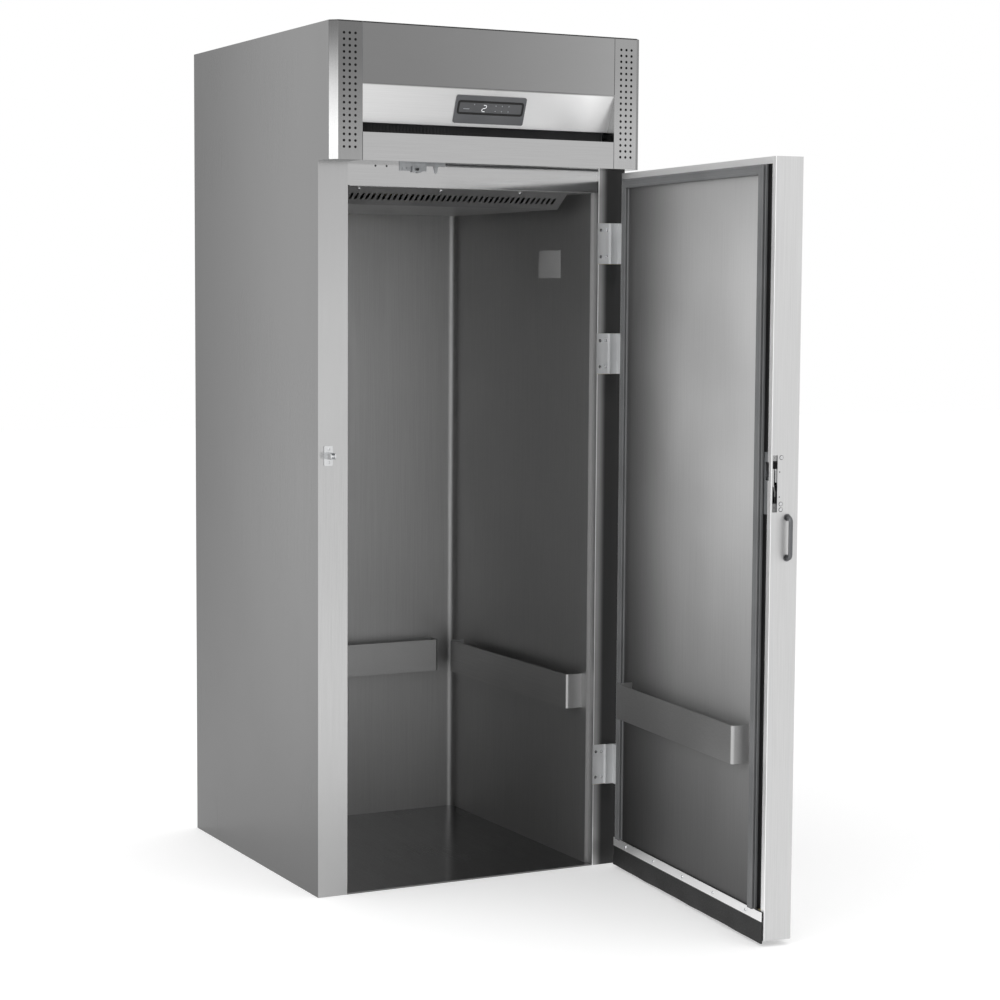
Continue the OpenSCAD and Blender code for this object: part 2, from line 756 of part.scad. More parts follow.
module evaporator_fan_motor() {
    strap_w = 24;
    strap_t = 2;
    pad = 10;
    foot = fan_hole_r + 20;
    strap_z = evaporator_motor_z + 8;
    color([0.3, 0.31, 0.33]) translate([evaporator_fan_x, evaporator_fan_y, 0]) {
        translate([0, 0, evaporator_motor_z]) fan_motor(evaporator_motor_r, evaporator_motor_h);
        difference() {
            union() {
                block([-foot, -strap_w / 2, strap_z], [foot, strap_w / 2, strap_z + strap_t]);
                for (s = [-1, 1]) {
                    block([s * foot - strap_t / 2, -strap_w / 2, bay_z],
                          [s * foot + strap_t / 2, strap_w / 2, strap_z + strap_t]);
                    block([s * foot - pad, -strap_w / 2, bay_z],
                          [s * foot + pad, strap_w / 2, bay_z + strap_t]);
                }
            }
            translate([0, 0, strap_z - 1]) cylinder(h = strap_t + 2, r = evaporator_motor_r - 2);
        }
    }
}

module machine_deck() {
    color([0.7, 0.71, 0.72]) difference() {
        block([-half_w + skin_t, reveal_y, bay_z - skin_t], [half_w - skin_t, back_y - skin_t, bay_z]);
        roof_openings(bay_z - skin_t, bay_z);
    }
}

// Condensing unit in front of the housing: tray, compressor, condenser and its fan

tray_t = 2;
tray_y0 = housing_y0 - 10 - tray_d;
tray_top = bay_z + tray_t;
module unit_tray() {
    y1 = tray_y0 + tray_d;
    color([0.55, 0.56, 0.58]) along_x(-tray_w / 2, tray_w) folded(
        [[tray_y0, bay_z + tray_lip], [tray_y0, bay_z], [y1, bay_z], [y1, bay_z + tray_lip]], tray_t);
}

compressor_y = tray_y0 + tray_d / 2;
foot_spread = compressor_r * 0.82;
module compressor_places() {
    for (x = [-1, 1], y = [-1, 1])
        translate([-compressor_x + x * foot_spread, compressor_y + y * foot_spread, 0]) children();
}
module compressor_feet() {
    color([0.1, 0.1, 0.1]) compressor_places() translate([0, 0, tray_top]) difference() {
        union() {
            cylinder(h = grommet_h, r = 10);
            translate([0, 0, grommet_h]) cylinder(h = 5, r = 5);
        }
        translate([0, 0, -1]) cylinder(h = grommet_h + 7, r = 3);
    }
}

module compressor() {
    plate_t = 3;
    arm_w = 22;
    arm_reach = 1.35 * foot_spread;
    z0 = tray_top + grommet_h;
    dome = compressor_r * 0.45;
    lid_z = compressor_h - dome;
    flat = 15;
    // Half outline of the shell: an elliptic cup and lid, each flat at its middle, and a straight band
    outline = concat(
        [[0, 0], [compressor_r * sin(flat), 0]],
        [for (a = [30 : 10 : 90]) [compressor_r * sin(a), dome * (1 - cos(a))]],
        [for (a = [90 : -10 : 30]) [compressor_r * sin(a), lid_z + dome * cos(a)]],
        [[compressor_r * sin(flat), compressor_h], [0, compressor_h]]);
    color([0.12, 0.12, 0.13]) {
        translate([-compressor_x, compressor_y, z0]) {
            difference() {
                union() {
                    for (a = [45, 135]) rotate(a) translate([-arm_reach, -arm_w / 2, 0])
                        cube([2 * arm_reach, arm_w, plate_t]);
                    for (x = [-1, 1], y = [-1, 1]) translate([x * foot_spread, y * foot_spread, 0])
                        cylinder(h = plate_t, r = 14);
                    rotate_extrude() polygon(outline);
                    translate([0, 0, compressor_h * 0.52]) cylinder(h = 8, r = compressor_r + 3);
                }
                for (x = [-1, 1], y = [-1, 1]) translate([x * foot_spread, y * foot_spread, -1])
                    cylinder(h = plate_t + 2, r = 5 + fit_gap);
            }
            // Terminal cover
            translate([-26, -compressor_r - 12, compressor_h * 0.22]) cube([52, 30, 46]);
        }
    }
}

condenser_x0 = tray_w / 2 - 24 - condenser_w;
condenser_y0 = tray_y0 + tray_t + 3;
condenser_mid_x = condenser_x0 + condenser_w / 2;
condenser_mid_z = tray_top + condenser_h / 2;
shroud_y = condenser_y0 + condenser_d;
shroud_t = 1.5;
shroud_ring_d = 30;
fan_depth = 30;
condenser_rows = 10;
module condenser_coil() {
    color([0.6, 0.62, 0.65]) translate([condenser_x0, condenser_y0, tray_top])
        finned_coil(condenser_w, condenser_d, condenser_h, fin_pitch, condenser_rows, 2);
}

// Turns a shape drawn about Z so that its +Z points back along +Y, at the condenser fan's axis
module on_condenser_axis(y) {
    translate([condenser_mid_x, y, condenser_mid_z]) rotate([-90, 0, 0]) children();
}

module fan_shroud() {
    ring_r = condenser_fan_d / 2 + fan_tip_gap;
    color([0.5, 0.51, 0.53]) on_condenser_axis(shroud_y) difference() {
        union() {
            translate([-condenser_w / 2, -condenser_h / 2, 0]) cube([condenser_w, condenser_h, shroud_t]);
            cylinder(h = shroud_ring_d, r = ring_r + 1.5);
        }
        translate([0, 0, -1]) cylinder(h = shroud_ring_d + 2, r = ring_r);
    }
}

fan_start_y = shroud_y + 9;
motor_gap = 6;
motor_y = fan_start_y + fan_depth + motor_gap;
module condenser_fan() {
    color([0.75, 0.76, 0.78]) on_condenser_axis(fan_start_y)
        axial_fan(condenser_fan_d, fan_depth, fan_depth * 0.2 + motor_gap + 18);
}

module condenser_fan_motor() {
    strap_w = 22;
    strap_t = 2;
    half = condenser_h / 2 - 6;
    color([0.2, 0.2, 0.22]) on_condenser_axis(0) {
        translate([0, 0, motor_y]) fan_motor(condenser_motor_r, condenser_motor_h);
        difference() {
            union() {
                block([-strap_w / 2, -half, motor_y + 3], [strap_w / 2, half, motor_y + 3 + strap_t]);
                for (s = [-1, 1]) {
                    block([-strap_w / 2, s * half - strap_t / 2, shroud_y + shroud_t],
                          [strap_w / 2, s * half + strap_t / 2, motor_y + 3 + strap_t]);
                }
            }
            translate([0, 0, motor_y + 2]) cylinder(h = strap_t + 2, r = condenser_motor_r * 0.53);
        }
    }
}

// Copper circuit

drier_r = 11;
drier_len = 90;
drier_x = 20;
drier_y = tray_y0 + tray_d - 34;
drier_z = tray_top + 60;
suction_x = -60;
suction_rise = coil_row(evaporator_coil_h, evaporator_rows, evaporator_rows - 1);
liquid_x = -20;
liquid_rise = coil_row(evaporator_coil_h, evaporator_rows, 0);
module filter_drier() {
    color([0.72, 0.45, 0.3]) translate([drier_x, drier_y, drier_z]) {
        cylinder(h = drier_len, r = drier_r);
        translate([0, 0, -10]) cylinder(h = 10, r1 = pipe_r + 1, r2 = drier_r, $fn = 24);
        translate([0, 0, drier_len]) cylinder(h = 10, r1 = drier_r, r2 = pipe_r + 1, $fn = 24);
    }
}

module refrigerant_pipes() {
    shell_z = tray_top + grommet_h + compressor_h * 0.4;
    bend = 14;
    stub_x = -compressor_x + compressor_r + 1;
    coil_z = tray_top + coil_row(condenser_h, condenser_rows, 0);
    coil_top_z = tray_top + coil_row(condenser_h, condenser_rows, condenser_rows - 1);
    coil_y = condenser_y0 + condenser_d / 4;
    coil_x = condenser_x0 - 6;
    cold_x = evaporator_coil_x0 - 6;
    cold_y = evaporator_coil_y0 + evaporator_coil_d / 4;
    turn_y = housing_y0 + housing_wall + 16;
    color([0.78, 0.45, 0.28]) {
        // Suction line from the evaporator to the compressor
        pipe_run([[cold_x, cold_y, bay_z + suction_rise],
                  [cold_x - bend, cold_y, bay_z + suction_rise],
                  [cold_x - bend, turn_y, bay_z + suction_rise],
                  [suction_x, turn_y, bay_z + suction_rise],
                  [suction_x, compressor_y + 20, bay_z + suction_rise],
                  [suction_x, compressor_y + 20, shell_z],
                  [stub_x, compressor_y + 20, shell_z]], pipe_r, bend);
        // Discharge line from the compressor to the top of the condenser
        pipe_run([[stub_x, compressor_y - 30, shell_z],
                  [suction_x - 10, compressor_y - 30, shell_z],
                  [suction_x - 10, compressor_y - 30, coil_top_z],
                  [suction_x - 10, coil_y, coil_top_z],
                  [coil_x, coil_y, coil_top_z]], pipe_r, bend);
        // Liquid line from the bottom of the condenser to the drier
        pipe_run([[coil_x, coil_y, coil_z],
                  [drier_x, coil_y, coil_z],
                  [drier_x, drier_y, coil_z],
                  [drier_x, drier_y, drier_z - 10]], pipe_r, 12);
        // Line from the drier to the evaporator
        pipe_run([[drier_x, drier_y, drier_z + drier_len + 10],
                  [drier_x, drier_y, drier_z + drier_len + 50],
                  [liquid_x, drier_y, drier_z + drier_len + 50],
                  [liquid_x, drier_y, bay_z + liquid_rise],
                  [liquid_x, turn_y, bay_z + liquid_rise],
                  [cold_x - bend, turn_y, bay_z + liquid_rise],
                  [cold_x - bend, cold_y, bay_z + liquid_rise],
                  [cold_x, cold_y, bay_z + liquid_rise]], pipe_r, 12);
    }
}

electrical_w = 62;
electrical_h = 150;
module electrical_box() {
    lid_t = 3;
    lid_over = 2;
    x0 = -tray_w / 2 + 4;
    y0 = tray_y0 + 24;
    y1 = tray_y0 + tray_d - 24;
    color([0.82, 0.83, 0.84]) {
        translate([x0, y0, tray_top]) linear_extrude(electrical_h)
            rounded([electrical_w - lid_t, y1 - y0], 4);
        block([x0 + electrical_w - lid_t, y0 - lid_over, tray_top],
              [x0 + electrical_w, y1 + lid_over, tray_top + electrical_h + lid_over]);
    }
}

// Rear of the machine bay: a panel with two banks of ventilation slots, and the mains gland

gland_x = half_w - gland_inset;
gland_rise = 46;
gland_body_r = 10;
module rear_grille() {
    slot_rows = 12;
    grille_slot_h = 7;
    grille_slot_len = 150;
    grille_pitch = 18;
    grille_h = (slot_rows - 1) * grille_pitch;
    mid_z = bay_h / 2;
    color([0.68, 0.69, 0.7]) difference() {
        union() {
            block([-half_w + skin_t, back_y - skin_t, bay_z], [half_w - skin_t, back_y, cabinet_h]);
            block([-half_w + skin_t, back_y - skin_t - flange_w, cabinet_h - skin_t],
                  [half_w - skin_t, back_y - skin_t, cabinet_h]);
        }
        along_y(back_y - 5, 10) for (x = [-1, 1] * 125, k = [0 : slot_rows - 1])
            translate([x, bay_z + mid_z - grille_h / 2 + k * grille_pitch]) rotate(90)
                obround(grille_slot_h, grille_slot_len);
        translate([gland_x, back_y - 5, bay_z + gland_rise]) rotate([-90, 0, 0])
            cylinder(h = 10, r = gland_body_r + fit_gap);
    }
}

cord_bore_r = 4.5;
module cable_gland() {
    nut_h = 6;
    nut_r = 15;
    cap_h = 10;
    nose_h = 8;
    inside_h = 14;
    color([0.12, 0.12, 0.12]) translate([gland_x, back_y, bay_z + gland_rise]) rotate([-90, 0, 0])
        difference() {
            union() {
                cylinder(h = nut_h, r = nut_r, $fn = 6);
                translate([0, 0, nut_h]) cylinder(h = cap_h, r = nut_r - 3);
                translate([0, 0, nut_h + cap_h]) cylinder(h = nose_h, r1 = 11, r2 = 8, $fn = 24);
                translate([0, 0, -inside_h]) cylinder(h = inside_h + 1, r = gland_body_r);
                translate([0, 0, -skin_t - nut_h]) cylinder(h = nut_h, r = nut_r, $fn = 6);
            }
            translate([0, 0, -inside_h - 1])
                cylinder(h = inside_h + nut_h + cap_h + nose_h + 2, r = cord_bore_r);
        }
}

// Fascia

strip_z1 = cabinet_h - upper_panel_h;
strip_z0 = strip_z1 - strip_h;
strip_tilt = atan2(strip_setback, strip_h);
strip_mid = [bezel_shift, fascia_y + strip_setback / 2, (strip_z0 + strip_z1) / 2];
module on_strip() {
    translate(strip_mid) rotate([90 + strip_tilt, 0, 0]) translate([0, -bezel_drop, 0]) children();
}

plug_w = bezel_w - 18;
plug_h = bezel_h - 14;
module fascia_upper() {
    color([0.7, 0.71, 0.72]) difference() {
        along_x(-post_x, 2 * post_x) folded([
            [fascia_y + fascia_flange_w, cabinet_h], [fascia_y, cabinet_h], [fascia_y, strip_z1],
            [fascia_y + strip_setback, strip_z0],
            [fascia_y + strip_setback + fascia_flange_w, strip_z0]], trim_t);
        on_strip() translate([-plug_w / 2 - fit_gap, -plug_h / 2 - fit_gap, -8])
            cube([plug_w + 2 * fit_gap, plug_h + 2 * fit_gap, 16]);
    }
}

module fascia_lower() {
    color([0.66, 0.67, 0.68]) along_x(-post_x, 2 * post_x) folded([
        [fascia_y + 2 * fascia_flange_w, bay_z + lower_panel_h], [fascia_y, bay_z + lower_panel_h],
        [fascia_y, bay_z], [reveal_y, bay_z]], trim_t);
}

module vent_post() {
    rows = floor((bay_h - 50) / vent_pitch) + 1;
    post_mid_x = -post_x - (vent_post_w - corner_bevel) / 2 - 2;
    color([0.74, 0.75, 0.76]) difference() {
        union() {
            translate([0, 0, bay_z]) linear_extrude(bay_h) folded([
                [-half_w, bevel_y], [-half_w + corner_bevel, fascia_y], [-post_x, fascia_y],
                [-post_x, fascia_y + cheek_d]], trim_t);
            // Tab behind the side panel, which holds the two together
            block([-half_w + skin_t, bevel_y + 2 * skin_t, bay_z],
                  [-half_w + skin_t + trim_t, bevel_y + 30, cabinet_h - 2]);
            // Underside, resting on the top of the stile
            translate([0, 0, bay_z]) linear_extrude(trim_t) polygon([
                [-half_w + skin_t, bevel_y + skin_t], [-half_w + corner_bevel, fascia_y + trim_t],
                [-post_x, fascia_y + trim_t], [-post_x, reveal_y], [-half_w + skin_t, reveal_y]]);
        }
        along_y(fascia_y - 5, 10) for (c = [0 : vent_cols - 1], k = [0 : rows - 1])
            translate([post_mid_x + (c - (vent_cols - 1) / 2) * vent_pitch,
                       bay_z + bay_h / 2 + (k - (rows - 1) / 2) * vent_pitch]) circle(vent_hole_d / 2);
    }
}
module vent_post_left() { vent_post(); }
module vent_post_right() { mirror([1, 0, 0]) vent_post(); }

window_w = bezel_w - 2 * window_margin;
window_y = bezel_h / 2 - window_top_margin - window_h;
window_seat = 1.5;
window_r = 6;
module display_bezel() {
    color([0.25, 0.25, 0.27]) on_strip() difference() {
        union() {
            translate([-bezel_w / 2, -bezel_h / 2, 0]) linear_extrude(bezel_t)
                rounded([bezel_w, bezel_h], bezel_r);
            translate([-plug_w / 2, -plug_h / 2, -controller_d]) cube([plug_w, plug_h, controller_d]);
        }
        translate([-window_w / 2, window_y, bezel_t - window_seat]) linear_extrude(bezel_t)
            rounded([window_w, window_h], window_r);
    }
}
module display_window() {
    color([0.05, 0.05, 0.06]) on_strip()
        translate([-window_w / 2 + fit_gap, window_y + fit_gap, bezel_t - window_seat])
            linear_extrude(window_seat)
                rounded([window_w - 2 * fit_gap, window_h - 2 * fit_gap], window_r - fit_gap);
}

// Hinges: a plate let into the stile with the upper knuckle, and a leaf on the door with the lower one

hinge_zs = [hinge_low_z, bay_z - hinge_mid_drop, bay_z - hinge_top_drop];
hinge_arm_x = pivot_x - knuckle_r;
hinge_base_w = pivot_x + knuckle_r - jamb_x;
knuckle_play = 0.5;
module knuckle_bore(z0, z1) {
    translate([pivot_x, pivot_y, z0]) cylinder(h = z1 - z0, r = pin_r + pin_clearance);
}

module hinge_plates() {
    color([0.78, 0.79, 0.8]) for (z = hinge_zs) {
        low = z + door_knuckle_h + knuckle_play;
        high = z + hinge_h;
        difference() {
            union() {
                block([jamb_x, front_y, low], [jamb_x + hinge_base_w, front_y + hinge_plate_t, high]);
                // Raised shoulder beside the gasket's track
                block([jamb_x + hinge_plate_w, front_y - 7, low], [hinge_arm_x + 1, front_y, high]);
                block([hinge_arm_x, pivot_y, low], [pivot_x + knuckle_r, front_y, high]);
                translate([pivot_x, pivot_y, low]) cylinder(h = high - low, r = knuckle_r);
            }
            knuckle_bore(low - 1, high + 1);
        }
    }
}

pin_head_h = 3;
module hinge_pins() {
    color([0.85, 0.86, 0.87]) for (z = hinge_zs) translate([pivot_x, pivot_y, 0]) {
        translate([0, 0, z - pin_head_h]) cylinder(h = hinge_h + 2 * pin_head_h, r = pin_r);
        translate([0, 0, z - pin_head_h - fit_gap]) cylinder(h = pin_head_h, r = knuckle_r - 2);
        translate([0, 0, z + hinge_h]) cylinder(h = pin_head_h, r = knuckle_r - 2);
    }
}

leaf_t = 2.5;
leaf_w = 44;
module hinge_leaves() {
    color([0.76, 0.77, 0.78]) hung() for (z = hinge_zs) difference() {
        union() {
            block([door_x1, pivot_y - leaf_w, z], [door_x1 + leaf_t, pivot_y + knuckle_r, z + hinge_h]);
            block([door_x1, pivot_y - knuckle_r, z], [pivot_x, pivot_y + knuckle_r, z + door_knuckle_h]);
            translate([pivot_x, pivot_y, z]) cylinder(h = door_knuckle_h, r = knuckle_r);
        }
        knuckle_bore(z - 1, z + door_knuckle_h + 1);
    }
}

// Striker on the left stile: a plate with two ears and a pin across them

striker_x = -half_w + striker_inset;
striker_ear_gap = 9;
striker_ear_t = 2.5;
striker_y = front_y - striker_reach;
module striker() {
    plate_w = 23;
    plate_h = 49;
    plate_t = 3;
    plate_r = 3;
    ear_h = 16;
    ear_x = striker_ear_gap / 2;
    screw_rise = 16.5;
    color([0.8, 0.81, 0.82]) {
        along_y(front_y - plate_t, plate_t) translate([striker_x - plate_w / 2, striker_z - plate_h / 2])
            rounded([plate_w, plate_h], plate_r);
        for (s = [-1, 1]) {
            x = striker_x + s * (ear_x + striker_ear_t / 2) - striker_ear_t / 2;
            block([x, striker_y, striker_z - ear_h / 2],
                  [x + striker_ear_t, front_y - plate_t, striker_z + ear_h / 2]);
            translate([x, striker_y, striker_z]) rotate([0, 90, 0])
                cylinder(h = striker_ear_t, r = ear_h / 2);
        }
        translate([striker_x - ear_x - striker_ear_t, striker_y, striker_z]) rotate([0, 90, 0])
            cylinder(h = 2 * ear_x + 2 * striker_ear_t, r = striker_pin_r);
        for (s = [-1, 1]) translate([striker_x, front_y - plate_t, striker_z + s * screw_rise])
            rotate([90, 0, 0]) pan_screw(3.5, 2);
    }
}

// Door switch under the bay: a bracket and body on the header, with a sprung plunger

switch_x = -half_w + switch_inset;
switch_z = bay_z - 14;
switch_half_h = 7;
switch_d = 6;
plunger_r = 2.5;
plunger_travel = 3;
module door_switch() {
    body_x0 = switch_x - 46;
    body_x1 = switch_x + 28;
    body_z0 = switch_z - switch_half_h;
    nose_r = 4;
    nose_drop = 1.8;
    plate_w = 52;
    plate_t = 1.5;
    plate_h = 5;
    tongue_w = 7;
    tongue_drop = 14;
    color([0.55, 0.56, 0.57]) difference() {
        union() {
            block([body_x0, front_y - plate_t, body_z0 + 3], [body_x1, front_y, bay_z]);
            block([switch_x - 13, front_y - switch_d, body_z0],
                  [switch_x + 13, front_y, switch_z + switch_half_h]);
            // Nose under the switch, which ends above the door's gasket
            along_y(front_y - switch_d, switch_d)
                translate([switch_x + nose_r, body_z0 + nose_r - nose_drop]) circle(nose_r);
            // Lighter plate beside it, with a tongue
            block([body_x1, front_y - plate_t, bay_z - plate_h], [body_x1 + plate_w, front_y, bay_z]);
            along_y(front_y - plate_t, plate_t) hull() {
                translate([body_x1 + plate_w / 2 - tongue_w, bay_z - plate_h]) square([2 * tongue_w, 1]);
                translate([body_x1 + plate_w / 2, bay_z - plate_h - tongue_drop]) circle(tongue_w / 2);
            }
            for (x = [-36, -24]) translate([switch_x + x, front_y - plate_t, switch_z + 2])
                rotate([90, 0, 0]) cylinder(h = 2, r = 3);
        }
        translate([switch_x, front_y - switch_d - 1, switch_z]) rotate([-90, 0, 0])
            cylinder(h = switch_d, r = plunger_r + pin_clearance);
    }
}
module switch_plunger() {
    tip_y = door_in_y + gasket_gap;
    cap_t = 1.5;
    color([0.15, 0.15, 0.15]) translate([switch_x, tip_y, switch_z]) rotate([-90, 0, 0]) {
        cylinder(h = front_y - 1 - plunger_travel - fit_gap - tip_y, r = plunger_r);
        cylinder(h = cap_t, r = plunger_r + 1);
    }
}

// Door leaf, drawn closed

latch_slot_z0 = striker_z - latch_slot_h + 36;
latch_slot_y1 = door_in_y - 4;
latch_case_z0 = latch_slot_z0 - 6;
latch_case_z1 = latch_slot_z0 + latch_slot_h + 6;
latch_case_y0 = door_in_y - 2 - latch_case_d;
latch_case_x0 = door_x0 + pan_t;
latch_case_x1 = striker_x + striker_ear_gap / 2 + striker_ear_t + 8;
latch_mouth_w = striker_ear_gap + 2 * striker_ear_t + 4;
latch_mouth_h = 42;
// Mouth in the inner face, through which the striker enters the case
module latch_mouth() {
    half = latch_mouth_w / 2;
    mid_z = striker_z - 1;
    block([striker_x - half, door_in_y - pan_t - latch_wall - 1, mid_z - latch_mouth_h / 2],
          [striker_x + half, door_in_y + 1, mid_z + latch_mouth_h / 2]);
}

module door_pan() {
    color([0.78, 0.79, 0.8]) hung() difference() {
        block([door_x0, door_out_y, door_z0], [door_x1, door_in_y, door_z1]);
        block([door_x0 + pan_t, door_out_y + pan_t, door_z0 + pan_t],
              [door_x1 - pan_t, door_in_y - pan_t, door_z1 - pan_t]);
        block([door_x0 + lip_w, door_in_y - pan_t - 1, inner_z0],
              [door_x1 - lip_w, door_in_y + 1, gasket_z1]);
        block([door_x0 - 1, latch_slot_y1 - latch_slot_w, latch_slot_z0],
              [door_x0 + pan_t + 1, latch_slot_y1, latch_slot_z0 + latch_slot_h]);
        latch_mouth();
    }
}

core_front_y = recess_y - 2;
module door_core() {
    color([0.93, 0.86, 0.6]) hung() difference() {
        union() {
            block([door_x0 + pan_t, door_out_y + pan_t, door_z0 + pan_t],
                  [door_x1 - pan_t, core_front_y, door_z1 - pan_t]);
            block([inner_x0, core_front_y, inner_z0], [inner_x1, door_in_y - skin_t, inner_z1]);
        }
        block([latch_case_x0 - 1, latch_case_y0, latch_case_z0], [latch_case_x1, door_in_y, latch_case_z1]);
    }
}

module door_liner() {
    color([0.62, 0.63, 0.64]) hung()
        block([inner_x0, door_in_y - skin_t, inner_z0], [inner_x1, door_in_y, inner_z1]);
}

// Upside-down U between two outlines, drawn in X and Z: the gasket has no run along the floor
module three_runs(outer_x0, outer_x1, outer_z1, in_x0, in_x1, in_z1) {
    difference() {
        translate([outer_x0, inner_z0]) square([outer_x1 - outer_x0, outer_z1 - inner_z0]);
        translate([in_x0, inner_z0 - 1]) square([in_x1 - in_x0, in_z1 - inner_z0 + 1]);
    }
}

module door_breaker() {
    color([0.08, 0.08, 0.08]) hung() difference() {
        union() {
            along_y(core_front_y, recess_y - core_front_y)
                three_runs(door_x0 + lip_w, door_x1 - lip_w, gasket_z1, inner_x0, inner_x1, inner_z1);
            along_y(recess_y, seat_y - recess_y)
                three_runs(gasket_x0, gasket_x1, gasket_z1, inner_x0, inner_x1, inner_z1);
        }
        block([latch_case_x0, latch_case_y0, latch_case_z0], [latch_case_x1, door_in_y, latch_case_z1]);
    }
}

// Gasket in three steps: its foot, the narrow bellows and the magnetic lip
module door_gasket() {
    lip_y = front_y - gasket_gap;
    foot_t = 5;
    lip_t = 4;
    neck = 4;
    // Each step: where it starts, its depth, and how much narrower it is on each side
    steps = [[seat_y, foot_t, 0], [seat_y + foot_t, lip_y - lip_t - seat_y - foot_t, neck],
             [lip_y - lip_t, lip_t, 1]];
    color([0.05, 0.05, 0.05]) hung() for (s = steps) along_y(s[0], s[1])
        three_runs(gasket_x0 + s[2], gasket_x1 - s[2], gasket_z1 - s[2],
                   inner_x0 - s[2], inner_x1 + s[2], inner_z1 + s[2]);
}

sweep_inset = 4;
module door_sweep() {
    color([0.06, 0.06, 0.06]) hung() block(
        [door_x0 + sweep_inset, door_in_y, sweep_floor_gap],
        [door_x1 - sweep_inset, door_in_y + sweep_t, inner_z0]);
}
module sweep_strip() {
    color([0.7, 0.71, 0.72]) hung() block(
        [door_x0 + sweep_inset, door_in_y + sweep_t, inner_z0 - clamp_strip_h],
        [door_x1 - sweep_inset, door_in_y + sweep_t + clamp_strip_t, inner_z0]);
}

module door_screws() {
    // Screws along the clamp strip, and countersunk ones beside the latch
    count = 5;
    first = door_x0 + 80;
    step = (door_x1 - door_x0 - 160) / (count - 1);
    latch_screw_y = door_in_y - 26;
    latch_screw_drops = [5, 111, 124];
    color([0.7, 0.71, 0.72]) hung() {
        for (i = [0 : count - 1])
            translate([first + i * step, door_in_y + sweep_t + clamp_strip_t, inner_z0 - clamp_strip_h / 2])
                rotate([-90, 0, 0]) pan_screw(4, 2.5);
        for (d = latch_screw_drops) translate([door_x0, latch_screw_y, latch_slot_z0 + latch_slot_h - d])
            rotate([0, -90, 0]) pan_screw(4, 1.2);
    }
}

module door_bumper() {
    x0 = -cavity_x + door_bumper_gap;
    color([0.6, 0.61, 0.62]) hung() translate([x0, door_in_y, door_bumper_z])
        bumper_strip(door_bumper_len, bumper_h);
}

// Latch in the door's free edge: the hook turns up behind the striker's pin

hook_pivot_y = door_in_y - 41;
hook_pivot_z = striker_z - 18;
module latch_case() {
    color([0.6, 0.61, 0.62]) hung() difference() {
        block([latch_case_x0, latch_case_y0, latch_case_z0],
              [latch_case_x1, door_in_y - pan_t, latch_case_z1]);
        block([latch_case_x0 + latch_wall, latch_case_y0 + latch_wall, latch_case_z0 + latch_wall],
              [latch_case_x1 - latch_wall, door_in_y - pan_t - latch_wall, latch_case_z1 - latch_wall]);
        latch_mouth();
        // Window in the edge
        block([latch_case_x0 - 1, latch_slot_y1 - latch_slot_w, latch_slot_z0],
              [latch_case_x0 + latch_wall + 1, latch_slot_y1, latch_slot_z0 + latch_slot_h]);
        translate([latch_case_x0 - 1, hook_pivot_y, hook_pivot_z]) rotate([0, 90, 0])
            cylinder(h = latch_case_x1 - latch_case_x0 + 2, r = 3);
    }
}

// Guide blocks, a bent spring bar and rivets, seen through the slot in the edge
module latch_guides() {
    top_h = 17;
    foot_h = 21;
    guide_d = 8;
    bar_w = 3.5;
    bar_t = 3;
    rivet_r = 2.2;
    x0 = latch_case_x0 + latch_wall;
    y0 = latch_slot_y1 - latch_slot_w;
    y1 = latch_slot_y1;
    z0 = latch_slot_z0;
    z1 = latch_slot_z0 + latch_slot_h;
    // Path of the bar's middle, from the upper block to the lower one
    bar = [[y1 - 4, z1 - top_h + 1], [y1 - 4, z0 + 62], [y0 + 4, z0 + 46], [y0 + 4, z0 + foot_h - 1]];
    color([0.62, 0.63, 0.64]) hung() {
        block([x0, y0 - 2, z1 - top_h], [x0 + guide_d, y1, z1 + 3]);
        block([x0, y0 - 2, z0 - 3], [x0 + guide_d, y1, z0 + foot_h]);
        block([x0, y0 - 2, z0 + 68], [x0 + guide_d - 2, y0 + 4, z1 - top_h + 1]);
        along_x(x0 + 1, bar_t) for (i = [0 : len(bar) - 2]) hull() {
            translate(bar[i]) circle(bar_w / 2);
            translate(bar[i + 1]) circle(bar_w / 2);
        }
        for (z = [z1 - 6, z1 - top_h - 16, z0 + 10]) translate([x0 - 1, y0 + 4, z]) rotate([0, 90, 0])
            cylinder(h = guide_d, r = rivet_r);
    }
}

module latch_hook() {
    arm_y = striker_y + 8 - hook_pivot_y;
    arm_low = 5;
    arm_h = 8;
    tooth_t = 4;
    tooth_h = striker_z + 6 - hook_pivot_z;
    boss_r = 7;
    tail = 52;
    tail_w = 6;
    color([0.45, 0.46, 0.47]) hung() translate([striker_x, hook_pivot_y, hook_pivot_z])
        rotate([-hook_angle, 0, 0]) {
            translate([-hook_t / 2, 0, 0]) rotate([90, 0, 90]) linear_extrude(hook_t) {
                circle(boss_r);
                translate([0, -arm_low]) square([arm_y, arm_h]);
                translate([arm_y - tooth_t, -arm_low]) square([tooth_t, tooth_h + arm_low]);
                polygon([[-tail_w, 0], [2, 0], [arm_y - arm_h, -tail], [arm_y - arm_h - tail_w, -tail]]);
            }
            // Pivot pin through both walls of the case
            translate([latch_case_x0 + fit_gap - striker_x, 0, 0]) rotate([0, 90, 0])
                cylinder(h = latch_case_x1 - latch_case_x0 - 2 * fit_gap, r = 3 - pin_clearance);
        }
}

module pull_handle() {
    x = door_x0 - pull_reach;
    y = door_in_y - pull_inset;
    z1 = pull_z + pull_span;
    bend = 10;
    foot_r = 8;
    color([0.72, 0.73, 0.74]) hung() {
        pipe_run([[door_x0, y, pull_z], [x, y, pull_z], [x, y, z1], [door_x0, y, z1]], pull_r, bend);
        for (z = [pull_z, z1]) translate([door_x0, y, z]) rotate([0, -90, 0])
            cylinder(h = 2.5, r = foot_r);
    }
}

